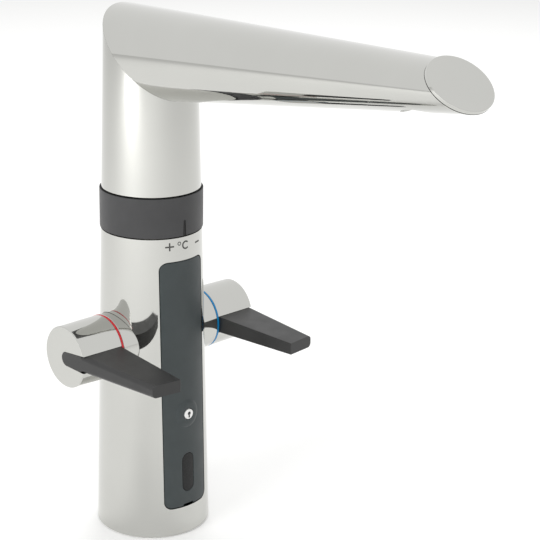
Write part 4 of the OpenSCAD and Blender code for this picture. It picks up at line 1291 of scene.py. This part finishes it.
def lamp(scene, name, spot, aim, width, power):
    """Soft area lamp that plain surfaces feel and mirrors don't see."""
    light = bpy.data.lights.new(name, "AREA")
    light.shape = "SQUARE"
    light.size = width
    light.energy = power
    holder = bpy.data.objects.new(name, light)
    holder.location = spot
    holder.rotation_euler = (Vector(aim) - Vector(spot)).to_track_quat("-Z", "Y").to_euler()
    holder.visible_glossy = False
    scene.collection.objects.link(holder)


def studio_camera(scene):
    """The photograph's viewing angle."""
    turn, fall, roll = math.radians(43.7204), math.radians(18.61439), math.radians(1.03356)
    ahead = Vector((math.sin(turn) * math.cos(fall), math.cos(turn) * math.cos(fall), -math.sin(fall)))
    right = ahead.cross(Vector((0, 0, 1))).normalized()
    up = right.cross(ahead)
    across = right * math.cos(roll) + up * math.sin(roll)
    upright = up * math.cos(roll) - right * math.sin(roll)
    camera = bpy.data.objects.new("camera", bpy.data.cameras.new("camera"))
    camera.data.lens = 109.40361
    camera.data.sensor_width = 36
    camera.data.clip_end = 20
    spot = Vector((-511.22244, -622.90779, 410.72665)) * MM
    turned_to = Matrix((across, upright, -ahead)).transposed().to_4x4()
    camera.matrix_world = Matrix.Translation(spot) @ turned_to
    scene.collection.objects.link(camera)
    scene.camera = camera


class MIXER_OT_stage(bpy.types.Operator):
    """Makes the floor, the studio light and the camera"""

    bl_idname = "mixer.stage"
    bl_label = "Stage"

    def execute(self, context):
        scene = context.scene
        scene.view_settings.view_transform = "Standard"
        studio_world(scene)
        studio_floor(scene)
        lamp(scene, "key lamp", (0.9, 0.7, 1.3), (0, -0.05, 0.15), 0.9, 9)
        lamp(scene, "fill lamp", (-0.9, -1.2, 1.0), (0, -0.05, 0.12), 1.0, 5)
        lamp(scene, "side lamp", (-1.5, -0.1, 0.5), (0, -0.05, 0.12), 0.8, 12)
        studio_camera(scene)
        return {"FINISHED"}


class MIXER_PT_tap(bpy.types.Panel):
    """Lists the steps that dress the tap"""

    bl_idname = "MIXER_PT_tap"
    bl_label = "Mixer tap"
    bl_space_type = "VIEW_3D"
    bl_region_type = "UI"
    bl_category = "Mixer tap"

    def draw(self, context):
        column = self.layout.column()
        for group in (context.scene.tap_sizes, context.scene.tap_colours):
            for name in group.bl_rna.properties.keys():
                if name not in ("rna_type", "name"):
                    column.prop(group, name)
        for step in STEPS_IN_ORDER:
            column.operator(step.bl_idname)


STEPS_IN_ORDER = (
    MIXER_OT_column_shell,
    MIXER_OT_necks,
    MIXER_OT_coloured_rings,
    MIXER_OT_hubs,
    MIXER_OT_levers,
    MIXER_OT_front_panel,
    MIXER_OT_sensor_window,
    MIXER_OT_button,
    MIXER_OT_collar,
    MIXER_OT_spout_riser,
    MIXER_OT_spout_arm,
    MIXER_OT_end_plate,
    MIXER_OT_aerator,
    MIXER_OT_temperature_marks,
    MIXER_OT_inner_finishes,
    MIXER_OT_stage,
)
CLASSES = (TapSizes, TapColours, *STEPS_IN_ORDER, MIXER_PT_tap)


def register():
    for item in CLASSES:
        bpy.utils.register_class(item)
    bpy.types.Scene.tap_sizes = bpy.props.PointerProperty(type=TapSizes)
    bpy.types.Scene.tap_colours = bpy.props.PointerProperty(type=TapColours)


def unregister():
    del bpy.types.Scene.tap_colours
    del bpy.types.Scene.tap_sizes
    for item in reversed(CLASSES):
        bpy.utils.unregister_class(item)


def main():
    """Makes every piece and the stage."""
    register()
    for step in STEPS_IN_ORDER:
        group, name = step.bl_idname.split(".")
        getattr(getattr(bpy.ops, group), name)()


if __name__ == "__main__":
    main()
